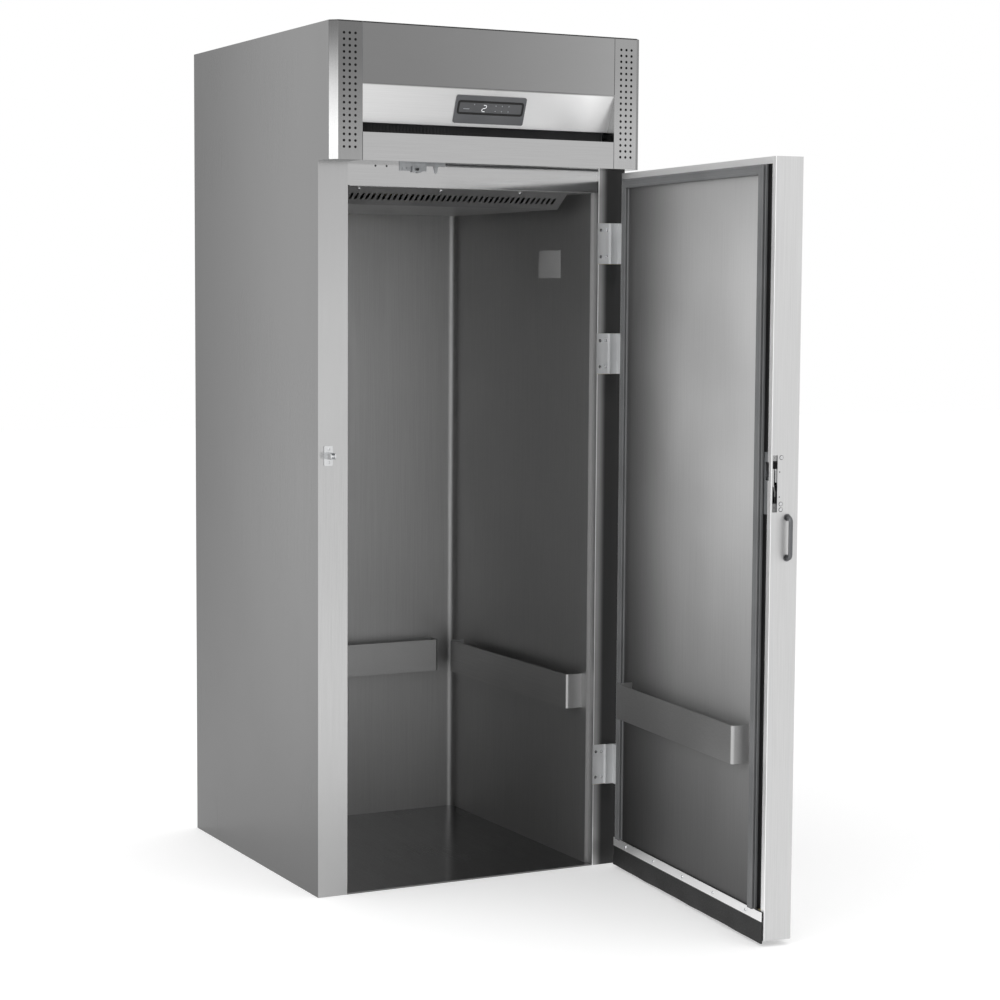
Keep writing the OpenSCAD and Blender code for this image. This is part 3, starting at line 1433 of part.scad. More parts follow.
side_panel_left();
side_panel_right();
back_panel();
insulation_left();
insulation_right();
insulation_back();
insulation_top();
liner();
ceiling_panel();
floor_plate();
stile_left();
stile_right();
header();
bumper_left();
bumper_right();
bumper_back();
evaporator_cover();
evaporator_cover_screws();
evaporator_housing();
evaporator_coil();
evaporator_fan_motor();
evaporator_fan();
machine_deck();
unit_tray();
compressor();
compressor_feet();
condenser_coil();
fan_shroud();
condenser_fan_motor();
condenser_fan();
filter_drier();
refrigerant_pipes();
electrical_box();
cable_gland();
rear_grille();
fascia_upper();
fascia_lower();
vent_post_left();
vent_post_right();
display_bezel();
display_window();
hinge_plates();
hinge_pins();
striker();
door_switch();
switch_plunger();
door_pan();
door_core();
door_liner();
door_breaker();
door_gasket();
door_sweep();
sweep_strip();
door_bumper();
latch_case();
latch_guides();
latch_hook();
pull_handle();
hinge_leaves();
door_screws();
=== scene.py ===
"""A roll-in refrigerator with its door open: finishes, small pieces, floor, light and camera."""
import json
import math

import bmesh
import bpy
import numpy as np
from mathutils import Matrix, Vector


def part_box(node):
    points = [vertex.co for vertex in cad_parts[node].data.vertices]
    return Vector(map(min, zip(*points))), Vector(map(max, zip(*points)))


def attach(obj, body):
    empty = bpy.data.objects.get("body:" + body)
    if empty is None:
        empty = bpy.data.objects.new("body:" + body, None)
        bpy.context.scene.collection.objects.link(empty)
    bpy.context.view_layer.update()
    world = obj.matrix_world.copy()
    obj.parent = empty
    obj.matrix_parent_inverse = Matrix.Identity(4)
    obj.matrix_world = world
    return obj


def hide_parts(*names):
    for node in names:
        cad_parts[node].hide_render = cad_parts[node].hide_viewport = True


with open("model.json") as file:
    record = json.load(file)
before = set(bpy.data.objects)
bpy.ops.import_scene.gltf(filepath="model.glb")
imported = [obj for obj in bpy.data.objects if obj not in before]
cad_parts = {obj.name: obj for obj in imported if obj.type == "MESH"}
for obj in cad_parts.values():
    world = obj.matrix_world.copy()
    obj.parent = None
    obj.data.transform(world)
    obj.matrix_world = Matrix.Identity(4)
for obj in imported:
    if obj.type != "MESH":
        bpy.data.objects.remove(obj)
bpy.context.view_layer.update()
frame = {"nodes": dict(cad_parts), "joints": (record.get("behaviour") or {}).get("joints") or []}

MM = 0.001

# Places on the cabinet, from its nodes

HEADER_LOW, HEADER_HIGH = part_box("header")
LOWER_LOW, LOWER_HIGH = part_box("fascia_lower")
UPPER_LOW, UPPER_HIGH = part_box("fascia_upper")
OPENING_X, PANEL_X = HEADER_HIGH[0], UPPER_HIGH[0]
FRONT_Y, FASCIA_Y, BACK_Y = HEADER_LOW[1], UPPER_LOW[1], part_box("back_panel")[1][1]
HEADER_TOP, TOP_Z = HEADER_HIGH[2], UPPER_HIGH[2]
# The display strip leans back from the foot of the upper panel
STRIP_H, STRIP_SETBACK = 92 * MM, 36 * MM
STRIP_TOP = UPPER_LOW[2] + STRIP_H

# Places on the door, worked out closed and then turned to the angle at which it stands open

SWING = next(joint for joint in frame["joints"] if joint["name"] == "door_swing")
PIVOT = np.array(SWING["pos_m"])
OPEN = -math.radians(SWING["range_deg"][0])
HUNG = np.array(Matrix.Rotation(OPEN, 3, "Z"))


def hung(points):
    """Closed door to open door: a turn about the hinge's axis."""
    return (np.asarray(points) - PIVOT) @ HUNG.T + PIVOT


def shut_box(name):
    """Low and high corner of a door node whose points are turned back to the closed door, to a micrometre."""
    mesh = frame["nodes"][name].data
    points = np.empty(len(mesh.vertices) * 3, np.float32)
    mesh.vertices.foreach_get("co", points)
    shut = (points.reshape(-1, 3) - PIVOT) @ HUNG + PIVOT
    return np.round([shut.min(axis=0), shut.max(axis=0)], 6)


DOOR_THROUGH = HUNG @ (0, 1, 0)
DOOR_ACROSS = HUNG @ (1, 0, 0)
DOOR_LOW, DOOR_HIGH = shut_box("door_pan")
DOOR_EDGE_X, DOOR_IN_Y = DOOR_LOW[0], DOOR_HIGH[1]
DOOR_FACE = float(hung((0, DOOR_IN_Y, 0)) @ DOOR_THROUGH)

# Colours and nodes


def linear(code):
    """sRGB hex to a linear colour with alpha 1."""
    srgb = np.array([int(code[i:i + 2], 16) for i in (1, 3, 5)]) / 255
    rgb = np.where(srgb <= 0.04045, srgb / 12.92, ((srgb + 0.055) / 1.055) ** 2.4)
    return (*rgb.tolist(), 1.0)


def add(tree, kind, inputs=None, **settings):
    """Adds a shader node, sets its properties, and fills or links its sockets."""
    made = tree.nodes.new("ShaderNode" + kind)
    for key, value in settings.items():
        setattr(made, key, value)
    for key, value in (inputs or {}).items():
        if isinstance(value, bpy.types.NodeSocket):
            tree.links.new(value, made.inputs[key])
        else:
            made.inputs[key].default_value = value
    return made


def blank_material(name):
    """A material with an empty node tree, and the tree."""
    material = bpy.data.materials.new(name)
    material.use_nodes = True
    material.node_tree.nodes.clear()
    return material, material.node_tree


def noise(tree, place, per_metre, detail=3.0, rough=0.55):
    """Noise with a scale per axis, in cells a metre."""
    stretched = add(tree, "Mapping", {"Vector": place, "Scale": per_metre}).outputs[0]
    inputs = {"Vector": stretched, "Scale": 1.0, "Detail": detail, "Roughness": rough}
    return add(tree, "TexNoise", inputs).outputs[0]


def from_noise(low, high):
    """Limits that stretch the middle of a noise, where most of its values lie, to a range."""
    return {"From Min": 0.35, "From Max": 0.65, "To Min": low, "To Max": high}


# Finishes

BRUSH_PITCH, BRUSH_LENGTH, BRUSH_DEPTH = 1.6 * MM, 190 * MM, 0.03 * MM
SMUDGE_SIZE, SMUDGE_GLOSS = 320 * MM, (-0.015, 0.03)
CLOUD_SIZE = 125 * MM
CRYSTAL_SIZE = 12 * MM
AXES = {"x": (1, 0, 0), "y": (0, 1, 0), "z": (0, 0, 1), "through the door": DOOR_THROUGH.tolist()}


def ramp_along(tree, place, axis, start, end):
    """Rises smoothly from 0 to 1 between two places in metres along one of the axes."""
    part = add(tree, "VectorMath", {0: place, 1: AXES[axis]}, operation="DOT_PRODUCT").outputs["Value"]
    inputs = {"Value": part, "From Min": start, "From Max": end}
    return add(tree, "MapRange", inputs, interpolation_type="SMOOTHSTEP").outputs[0]


def drifted(tree, place, colour, turns):
    """Colour that turns to others along the object. Each turn is an axis, two places along it and the hex
    that the tone drifts to between them, or a hex with turns of its own."""
    for axis, start, end, code in turns:
        other = linear(code) if isinstance(code, str) else drifted(tree, place, linear(code[0]), code[1])
        inputs = {0: ramp_along(tree, place, axis, start, end), 6: colour, 7: other}
        colour = add(tree, "Mix", inputs, data_type="RGBA").outputs[2]
    return colour


def brushed_steel(name, pale, dark, grain="z", rough=(0.2, 0.26), turns=()):
    """Stainless sheet brushed along one axis: fine streaks in tone and gloss, with faint hand smudges.
    Real brush lines are 0.1 mm apart, so they are drawn at a pitch that just shows."""
    material, tree = blank_material(name)
    place = add(tree, "TexCoord").outputs["Object"]
    cells = [1 / (BRUSH_LENGTH if axis == grain else BRUSH_PITCH) for axis in "xyz"]
    streak = noise(tree, place, cells, 4.0, 0.7)
    smudge = noise(tree, place, [1 / SMUDGE_SIZE] * 3, 2.0)
    tone = add(tree, "MapRange", {"Value": streak} | from_noise(0.0, 1.0)).outputs[0]
    metal = add(tree, "Mix", {0: tone, 6: linear(pale), 7: linear(dark)}, data_type="RGBA").outputs[2]
    brushed = add(tree, "MapRange", {"Value": streak} | from_noise(*rough)).outputs[0]
    handled = add(tree, "MapRange", {"Value": smudge} | from_noise(*SMUDGE_GLOSS)).outputs[0]
    gloss = add(tree, "Math", {0: brushed, 1: handled}, operation="ADD").outputs[0]
    bump = add(tree, "Bump", {"Height": streak, "Strength": 0.03, "Distance": BRUSH_DEPTH}).outputs[0]
    colour = drifted(tree, place, metal, turns)
    shader = add(tree, "BsdfPrincipled", {
        "Base Color": colour, "Metallic": 1.0, "Roughness": gloss, "Normal": bump})
    add(tree, "OutputMaterial", {"Surface": shader.outputs[0]})
    return material


def plain_finish(name, pale, dark, cell, rough, metallic=0.0, bump=0.1, bump_depth=0.05 * MM):
    """A finish with fine random marks, whose size in metres is the cell, and a faint cloud of tone."""
    material, tree = blank_material(name)
    place = add(tree, "TexCoord").outputs["Object"]
    mark = noise(tree, place, [1 / cell] * 3)
    cloud = noise(tree, place, [1 / CLOUD_SIZE] * 3, 2.0)
    tone = add(tree, "MapRange", {"Value": cloud} | from_noise(0.0, 1.0)).outputs[0]
    colour = add(tree, "Mix", {0: tone, 6: linear(pale), 7: linear(dark)}, data_type="RGBA").outputs[2]
    gloss = add(tree, "MapRange", {"Value": mark} | from_noise(*rough)).outputs[0]
    relief = add(tree, "Bump", {"Height": mark, "Strength": bump, "Distance": bump_depth}).outputs[0]
    shader = add(tree, "BsdfPrincipled", {
        "Base Color": colour, "Metallic": metallic, "Roughness": gloss, "Normal": relief})
    add(tree, "OutputMaterial", {"Surface": shader.outputs[0]})
    return material


def spangled_zinc(name, pale, dark, rough):
    """Hot-dip galvanised sheet: crystals about 12 mm wide, each of its own grey and gloss."""
    material, tree = blank_material(name)
    place = add(tree, "TexCoord").outputs["Object"]
    crystal = add(tree, "TexVoronoi", {"Vector": place, "Scale": 1 / CRYSTAL_SIZE}).outputs["Color"]
    tone = add(tree, "SeparateColor", {0: crystal}).outputs[0]
    colour = add(tree, "Mix", {0: tone, 6: linear(pale), 7: linear(dark)}, data_type="RGBA").outputs[2]
    gloss = add(tree, "MapRange", {"Value": tone, "To Min": rough[0], "To Max": rough[1]}).outputs[0]
    shader = add(tree, "BsdfPrincipled", {"Base Color": colour, "Metallic": 1.0, "Roughness": gloss})
    add(tree, "OutputMaterial", {"Surface": shader.outputs[0]})
    return material


def glowing_mark(name, code):
    """A mark behind the display's window that glows: the lit digit, and print given a painted glow."""
    material, tree = blank_material(name)
    shader = add(tree, "Emission", {"Color": linear(code), "Strength": 1.0})
    add(tree, "OutputMaterial", {"Surface": shader.outputs[0]})
    return material


# Side sheets, brushed upright: soft streaks, and painted shade that darkens them towards the back and the
# floor
steel_case = brushed_steel("brushed_stainless_case", "#888888", "#848484", turns=[
    ("y", -0.4, 0.58, "#595959"), ("z", 1.1, -0.1, "#626262")])
# Stile on the latch side, glossier, with painted shade that makes it a little darker to its top and foot
steel_front = brushed_steel("brushed_stainless_front", "#bebebe", "#b8b8b8", rough=(0.16, 0.22), turns=[
    ("z", 1.2, 1.8, "#a2a2a2"), ("z", 0.6, 0.0, "#acacac")])
# Jamb beside the hinges, satin: painted shade darkens it beside the open door, and a painted highlight runs
# along the fold at the opening
steel_jamb = brushed_steel("brushed_stainless_jamb", "#b0b0b0", "#a8a8a8", rough=(0.4, 0.48), turns=[
    ("x", OPENING_X + 3.2 * MM, OPENING_X + 2.4 * MM, "#ffffff"),
    ("x", OPENING_X + 0.8 * MM, OPENING_X + 0.2 * MM, "#acacac"),
    ("x", OPENING_X + 3.6 * MM, OPENING_X + 29 * MM, "#424242")])
# Corner posts, with painted shade darkening them towards the top; the fold to the side sheet is a painted
# reflection, pale on the left and darkening towards its top, and dark on the right
# Painted shade: a dark line just under the top edge, where the fold lies in shade
TOP_EDGE_SHADE = ("z", TOP_Z - 3.8 * MM, TOP_Z - 2.2 * MM, "#383838")
LEFT_FOLD, RIGHT_FOLD = (-412 * MM, -414 * MM), (412.5 * MM, 414.5 * MM)
steel_post_left = brushed_steel("brushed_stainless_post_left", "#959595", "#919191", turns=[
    ("z", 1.78, 2.1, "#696969"), ("x", *LEFT_FOLD, ("#a2a2a2", [("z", 1.86, 2.16, "#444444")])), TOP_EDGE_SHADE])
steel_post_right = brushed_steel("brushed_stainless_post_right", "#a6a6a6", "#a0a0a0", turns=[
    ("z", 1.86, 2.1, "#8e8e8e"), ("x", *RIGHT_FOLD, "#4a4a4a"), TOP_EDGE_SHADE])
# Cross-brushed sheet with painted light and shade: a bright display strip, lifted towards its right and a
# little less at its right end; above it a darker panel; a painted reflection that lightens the whole sheet to
# the right; and the painted dark line under the top edge
steel_fascia = brushed_steel("brushed_stainless_fascia", "#dadada", "#d4d4d4", "x", (0.3, 0.36), [
    ("x", 0.0, 0.2, "#ffffff"), ("x", 0.27, PANEL_X, "#d0d0d0"),
    ("z", STRIP_TOP - 5.5 * MM, STRIP_TOP - 1.5 * MM, "#787878"), ("x", -0.3, 2.4, "#f0f0f0"), TOP_EDGE_SHADE])
# Door skin, satin, with a painted highlight along its inner flange round the seal
steel_door = brushed_steel("brushed_stainless_door", "#cccccc", "#c6c6c6", rough=(0.4, 0.48), turns=[
    ("through the door", DOOR_FACE - 2.2 * MM, DOOR_FACE - 0.8 * MM, "#ffffff")])
# Bright-rolled sheet, close to a mirror
steel_header = brushed_steel("bright_stainless_header", "#a3a3a3", "#9e9e9e", "x", (0.05, 0.09))
# Rolled sheet in the cold room and on the door's inside: a soft, wide shine without hard reflections
steel_inner = brushed_steel("rolled_stainless_liner", "#acacac", "#a6a6a6", rough=(0.42, 0.5))
steel_cover = brushed_steel("bright_stainless_cover", "#bababa", "#b4b4b4", "x", (0.34, 0.42))
# Door's inner skin: painted shade darkens it towards the top, towards the hinge, and most towards the foot
steel_door_inner = brushed_steel("rolled_stainless_door_liner", "#e2e2e2", "#dcdcdc", "z", (0.56, 0.64), [
    ("z", 1.5, 1.95, "#b8b8b8"), ("y", -0.88, -0.47, "#727272"), ("z", 1.15, -0.2, "#424242")])
steel_floor = brushed_steel("rolled_stainless_floor", "#7c7c7c", "#767676", "y", (0.18, 0.26))
steel_strip = brushed_steel("brushed_stainless_bumper", "#b0b0b0", "#aaaaaa", "y", (0.42, 0.5))
# Latch works seen in the slot: bands of grey from bright to near black, each band from its height down
LATCH_BANDS = [
    (1125, "#262626"), (1107, "#b4b4b4"), (1066, "#6a6a6a"), (1043.5, "#2e2e2e"), (1027.5, "#767676")]
steel_guides = brushed_steel("latch_guide_steel", "#a6a6a6", "#8e8e8e", rough=(0.2, 0.28), turns=[
    ("z", (height + 0.5) * MM, (height - 0.5) * MM, code) for height, code in LATCH_BANDS])
# Galvanised sheet of the back, the cooling unit and small cases: a dull patchwork of greys
zinc = spangled_zinc("galvanised_sheet", "#a8aaac", "#9b9d9f", (0.38, 0.48))
# Machined and polished parts: tight highlights with a trace of turning marks
bright_steel = plain_finish("polished_steel", "#d6d7d8", "#c6c7c8", 0.6 * MM, (0.1, 0.2), 1.0)
# Passivated zinc on the bent rod of the pull: a dull dark grey
dull_zinc = plain_finish("passivated_zinc_rod", "#6f7072", "#646567", 1.2 * MM, (0.3, 0.42), 1.0)
# Die-cast zinc with satin chrome: an even, slightly milky shine
cast_chrome = plain_finish("satin_chrome_casting", "#d8d9da", "#cacbcc", 0.9 * MM, (0.28, 0.4), 0.65)
# Mill-finished aluminium, faintly uneven, and the coils' thin fins, duller
bare_aluminium = plain_finish(
    "mill_aluminium", "#d2d4d6", "#c2c4c6", 3 * MM, (0.28, 0.42), 1.0, 0.3, 0.1 * MM)
fin_aluminium = plain_finish("coil_fin_aluminium", "#c4c7ca", "#b0b3b6", 1.2 * MM, (0.35, 0.5), 1.0)
# Drawn tube, handled and a little tarnished: pinkish brown with brighter patches
copper = plain_finish("drawn_copper_tube", "#c98a63", "#a8673f", 4 * MM, (0.25, 0.42), 1.0)
# Dipped enamel on compressor and motors: black with a fine orange peel
black_enamel = plain_finish("black_enamel", "#17181a", "#0f1011", 1.5 * MM, (0.28, 0.4), 0.0, 0.25)
# Foam in place: pale yellow, matt and finely pitted
foam = plain_finish("polyurethane_foam", "#e9dcae", "#d9c88f", 1.5 * MM, (0.85, 0.95), 0.0, 0.5, 0.3 * MM)
# Extruded PVC profile: dull, near black
black_pvc = plain_finish("black_pvc_extrusion", "#1b1b1c", "#141415", 1 * MM, (0.45, 0.6))
# Moulded ABS with fine spark texture: black for small fittings, mid grey for the frame round the display
moulded_black = plain_finish("moulded_black_abs", "#202123", "#191a1b", 0.5 * MM, (0.4, 0.55), 0.0, 0.25)
moulded_grey = plain_finish("moulded_grey_abs", "#5d5e60", "#56575a", 0.5 * MM, (0.4, 0.5), 0.0, 0.2)
# Cast acrylic with a smoked tint: glossy dark grey
window_gloss = plain_finish("smoked_acrylic", "#57585a", "#505153", 40 * MM, (0.08, 0.14), 0.0, 0.02)
# Screen-printed ink: flat black without texture that the eye can see
black_ink = plain_finish("screen_printed_black", "#050505", "#030303", 2 * MM, (0.55, 0.65), 0.0, 0.02)
# Rubber sweep, black and slightly rippled, and the gasket's soft PVC, an even mid grey
sweep_rubber = plain_finish(
    "epdm_sweep_rubber", "#161616", "#101010", 2 * MM, (0.5, 0.68), 0.0, 0.3, 0.2 * MM)
gasket_rubber = plain_finish("grey_gasket_pvc", "#6c6d6e", "#646566", 2 * MM, (0.42, 0.55), 0.0, 0.15)
# Pleated polyester filter, dark grey with dust and with painted shade for the dark gap into the machine
# space, and fly mesh, dyed black: matt, with a coarse weave
filter_cloth = plain_finish(
    "dusty_filter_cloth_and_shade", "#505051", "#434344", 1.2 * MM, (0.85, 0.95), 0.0, 0.6, 0.3 * MM)
mesh_cloth = plain_finish("black_fly_mesh", "#101011", "#0a0a0b", 1.2 * MM, (0.85, 0.95), 0.0, 0.6, 0.3 * MM)
# Blank polyester label: silver grey with a satin face
label_film = plain_finish("blank_silver_film", "#a2a2a2", "#9c9c9c", 1 * MM, (0.35, 0.45))
# Lit digit, cold white, and the dim print beside it, which glows as painted light
digit_light = glowing_mark("lit_digit", "#f4f6f8")
glowing_icon_print = glowing_mark("dim_icon", "#8d9093")

FINISHES = {
    steel_case: ["side_panel_left", "side_panel_right"],
    steel_front: ["stile_left"],
    steel_jamb: ["stile_right"],
    steel_post_left: ["vent_post_left"],
    steel_post_right: ["vent_post_right"],
    steel_fascia: ["fascia_upper"],
    steel_header: ["header", "fascia_lower"],
    steel_inner: ["liner"],
    steel_cover: ["ceiling_panel", "evaporator_cover"],
    steel_floor: ["floor_plate"],
    steel_strip: ["bumper_left", "bumper_right", "bumper_back", "door_bumper"],
    steel_door: ["door_pan", "sweep_strip"],
    steel_door_inner: ["door_liner"],
    zinc: ["back_panel", "machine_deck", "unit_tray", "rear_grille", "electrical_box", "fan_shroud",
           "latch_case", "door_switch"],
    bright_steel: ["evaporator_cover_screws", "hinge_pins", "striker", "latch_hook", "door_screws"],
    steel_guides: ["latch_guides"],
    dull_zinc: ["pull_handle"],
    cast_chrome: ["hinge_plates", "hinge_leaves"],
    bare_aluminium: ["evaporator_housing", "condenser_fan"],
    fin_aluminium: ["evaporator_coil", "condenser_coil"],
    copper: ["refrigerant_pipes", "filter_drier"],
    black_enamel: ["compressor", "condenser_fan_motor", "evaporator_fan_motor"],
    foam: ["insulation_left", "insulation_right", "insulation_back", "insulation_top", "door_core"],
    black_pvc: ["door_breaker"],
    moulded_black: ["evaporator_fan", "cable_gland", "switch_plunger", "compressor_feet"],
    moulded_grey: ["display_bezel"],
    window_gloss: ["display_window"],
    gasket_rubber: ["door_gasket"],
    sweep_rubber: ["door_sweep"],
}
for finish, nodes in FINISHES.items():
    for node in nodes:
        mesh = frame["nodes"][node].data
        mesh.materials.clear()
        mesh.materials.append(finish)

# Surfaces

MERGE_WITHIN = 0.001 * MM


def new_piece(name, points, faces, finish, body):
    """A mesh piece at the origin that rides on a CAD body."""
    mesh = bpy.data.meshes.new(name)
    mesh.from_pydata(points.tolist(), [], faces)
    work = bmesh.new()
    work.from_mesh(mesh)
    bmesh.ops.remove_doubles(work, verts=work.verts, dist=MERGE_WITHIN)
    bmesh.ops.recalc_face_normals(work, faces=work.faces)
    work.to_mesh(mesh)
    work.free()
    mesh.materials.append(finish)
    piece = bpy.data.objects.new(name, mesh)
    bpy.context.scene.collection.objects.link(piece)
    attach(piece, body)
    return piece


def ring_faces(rings, sides):
    """Quads between rings of as many points as there are sides, each ring closed."""
    i, j = np.meshgrid(np.arange(rings - 1), np.arange(sides), indexing="ij")
    k = (j + 1) % sides
    here, there = i * sides, (i + 1) * sides
    return np.stack([here + j, here + k, there + k, there + j], -1).reshape(-1, 4)


def tube(name, rings, finish, body):
    """A closed body from rings of points, with a flat cap on its first and last ring."""
    count, sides = rings.shape[:2]
    faces = ring_faces(count, sides).tolist()
    faces += [list(range(sides))[::-1], list(range((count - 1) * sides, count * sides))]
    return new_piece(name, rings.reshape(-1, 3), faces, finish, body)


def frame_along(axis):
    """Two unit vectors square to an axis, and the axis."""
    axis = np.array(axis, float) / np.linalg.norm(axis)
    side = np.cross(axis, (0, 0, 1) if abs(axis[2]) < 0.9 else (1, 0, 0))
    side /= np.linalg.norm(side)
    return side, np.cross(axis, side), axis


def turned(name, profile, places, axis, finish, body, sides=20):
    """The same turned part at several places: each ring of the profile is a radius and a height in mm."""
    side, other, up = frame_along(axis)
    turn = np.linspace(0, 2 * math.pi, sides, endpoint=False)
    circle = np.cos(turn)[:, None] * side + np.sin(turn)[:, None] * other
    radius, height = np.array(profile, float).T * MM
    one = radius[:, None, None] * circle + height[:, None, None] * up
    points = one + np.array(places, float)[:, None, None]
    first = np.arange(len(places)) * len(profile) * sides
    last = first + (len(profile) - 1) * sides
    quads = ring_faces(len(profile), sides) + first[:, None, None]
    caps = [first[:, None] + np.arange(sides)[::-1], last[:, None] + np.arange(sides)]
    faces = quads.reshape(-1, 4).tolist() + np.concatenate(caps).tolist()
    new_piece(name, points.reshape(-1, 3), faces, finish, body)


def slab(name, outline, thickness, to_place, finish, body):
    """A flat outline given a thickness, and put in place by a function of u, v and height."""
    u, v = np.array(outline, float).T
    rings = np.stack([to_place(u, v, np.full_like(u, height)) for height in (0, thickness)])
    tube(name, rings, finish, body)


def rectangle(u0, v0, u1, v1):
    """Four corners, counterclockwise, from two in millimetres."""
    return np.array([(u0, v0), (u1, v0), (u1, v1), (u0, v1)]) * MM


# Wavy sweep along the foot of the door: the rubber has taken a set and no longer hangs straight

SWEEP_LOW, SWEEP_HIGH = shut_box("door_sweep")
# Share of its height that the strip holds, then how far the rest stands in and how far it waves
SWEEP_HELD, SWEEP_SET, SWEEP_WAVE = 0.35, 2.2 * MM, 2.0 * MM
# Each sine's share of the wave, its radians a metre and its phase
SWEEP_SINES = [(0.6, 23, 0), (0.4, 51, 1)]


def wavy_sweep():
    """Flap whose free part swings in and out along X on two sines, and whose lower edge rises with them."""
    along = np.linspace(SWEEP_LOW[0], SWEEP_HIGH[0], 161)
    down = np.concatenate([[0.0, SWEEP_HELD], np.linspace(0.45, 1, 8)])
    u, v = np.meshgrid(along, down, indexing="ij")
    wave = sum(share * np.sin(u * pace + phase) for share, pace, phase in SWEEP_SINES)
    free = np.clip((v - SWEEP_HELD) / (1 - SWEEP_HELD), 0, 1) ** 1.5
    front = SWEEP_LOW[1] + free * (SWEEP_SET + SWEEP_WAVE * wave)
    drop = SWEEP_HIGH[2] - SWEEP_LOW[2] - SWEEP_WAVE * (1 + wave)
    z = SWEEP_HIGH[2] - drop * v
    near = np.stack([u, front, z], -1)
    far = near + (0, SWEEP_HIGH[1] - SWEEP_LOW[1], 0)
    rings = np.concatenate([near, far[:, ::-1]], axis=1)
    piece = tube("wavy_door_sweep", hung(rings), sweep_rubber, "door")
    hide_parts("door_sweep")


wavy_sweep()

# Gasket: a bellows profile with a magnet strip, mitred at the two upper corners

GASKET_LOW, GASKET_HIGH = shut_box("door_gasket")
GASKET_HALF_W = 12 * MM
# Half of the profile: distance from its middle line and height over the seat, in millimetres
GASKET_HALF = [
    (12, 0), (12, 4.6), (10.6, 5.8), (8, 6.5), (7.2, 7.4), (8, 8.3), (10.4, 9.0), (11.2, 9.9), (11.4, 12.2),
    (10.8, 13.1), (9.6, 13.5), (5.5, 13.5), (4.8, 12.9)]


def mitred_gasket():
    """Mirrored profile of depth from the outer edge and height, carried up, across and down the door."""
    half, rise = np.array(GASKET_HALF).T * MM
    depth = GASKET_HALF_W + np.concatenate([half, -half[::-1]])
    y = GASKET_LOW[1] + np.concatenate([rise, rise[::-1]])
    left, right, top = GASKET_LOW[0] + depth, GASKET_HIGH[0] - depth, GASKET_HIGH[2] - depth
    foot = np.full_like(depth, GASKET_LOW[2])
    path = [(left, foot), (left, top), (right, top), (right, foot)]
    rings = np.stack([np.stack([x, y, z], -1) for x, z in path])
    piece = tube("mitred_door_gasket", hung(rings), gasket_rubber, "door")
    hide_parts("door_gasket")


mitred_gasket()

# Display: a seven-segment digit, and small printed marks given a painted glow, on the tilted window

STRIP_TILT = math.atan2(STRIP_SETBACK, STRIP_H)
STRIP_UP = np.array([0, -math.sin(STRIP_TILT), math.cos(STRIP_TILT)])
STRIP_OUT = np.array([0, -math.cos(STRIP_TILT), -math.sin(STRIP_TILT)])
WINDOW_MID = np.array(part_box("display_window")).mean(axis=0)
WINDOW_HALF_T = 0.75 * MM
MARK_T = 0.3 * MM


def on_window(u, v, height):
    """Point on the window: u to the right, v up the slope and height out of it, in metres."""
    flat = WINDOW_MID + np.multiply.outer(u, (1, 0, 0)) + np.multiply.outer(v, STRIP_UP)
    return flat + np.multiply.outer(height + WINDOW_HALF_T, STRIP_OUT)


DIGIT_W, DIGIT_H, DIGIT_LEAN = 9.5 * MM, 16 * MM, 0.16
DIGIT_AT = (-19 * MM, -1 * MM)
SEGMENT_GAP, SEGMENT_HALF_W = 0.8 * MM, 0.9 * MM
# The ends of each segment, in digit widths and half digit heights
SEGMENTS = {"a": (0, 2, 1, 2), "b": (1, 2, 1, 1), "g": (0, 1, 1, 1), "e": (0, 1, 0, 0), "d": (0, 0, 1, 0)}


def lit_digit():
    """The segments of a 2, each a bar with pointed ends, leaning a little to the right."""
    for name, ends in SEGMENTS.items():
        start, end = np.reshape(ends, (2, 2)) * (DIGIT_W, DIGIT_H / 2)
        run = (end - start) / np.linalg.norm(end - start)
        side = np.array([-run[1], run[0]])
        low, high = start + SEGMENT_GAP * run, end - SEGMENT_GAP * run
        left, right = SEGMENT_HALF_W * (run + side), SEGMENT_HALF_W * (run - side)
        outline = np.array([low, low + left, high - right, high, high - left, low + right])
        outline[:, 0] += DIGIT_LEAN * outline[:, 1]
        outline += np.array(DIGIT_AT) - (DIGIT_W / 2, DIGIT_H / 2)
        slab(f"digit_segment_{name}", outline, MARK_T, on_window, digit_light, "cabinet")


lit_digit()

ICON_DISC = [(1.5, 0), (1.5, 0.3)]
ICON_COLUMNS, ICON_ROWS, LONE_ICON = (14, 31.5, 50), (6.5, -7), (-46, 8)
icons = [(u, v) for u in ICON_COLUMNS for v in ICON_ROWS] + [LONE_ICON]
turned("display_icons", ICON_DISC, [on_window(u * MM, v * MM, 0.0) for u, v in icons], STRIP_OUT, glowing_icon_print,
       "cabinet", sides=12)
MARK = rectangle(-75, -4.6, -58, -2.6)
slab("display_mark", MARK, MARK_T, on_window, glowing_icon_print, "cabinet")

# Printed frame, whose outer edge stays just inside the window's

BORDER_HALF, BORDER_R, BORDER_W, BORDER_T = (91.6 * MM, 17.6 * MM), 8 * MM, 5.2 * MM, 0.5 * MM


def rounded_outline(half_w, half_h, radius, steps=7):
    """Rectangle whose corners are quarter circles, counterclockwise."""
    turn = np.arange(4)[:, None] * math.pi / 2 + np.linspace(0, math.pi / 2, steps)
    mid = np.array([(1, 1), (-1, 1), (-1, -1), (1, -1)]) * (half_w - radius, half_h - radius)
    return (mid[:, None] + radius * np.stack([np.cos(turn), np.sin(turn)], -1)).reshape(-1, 2)


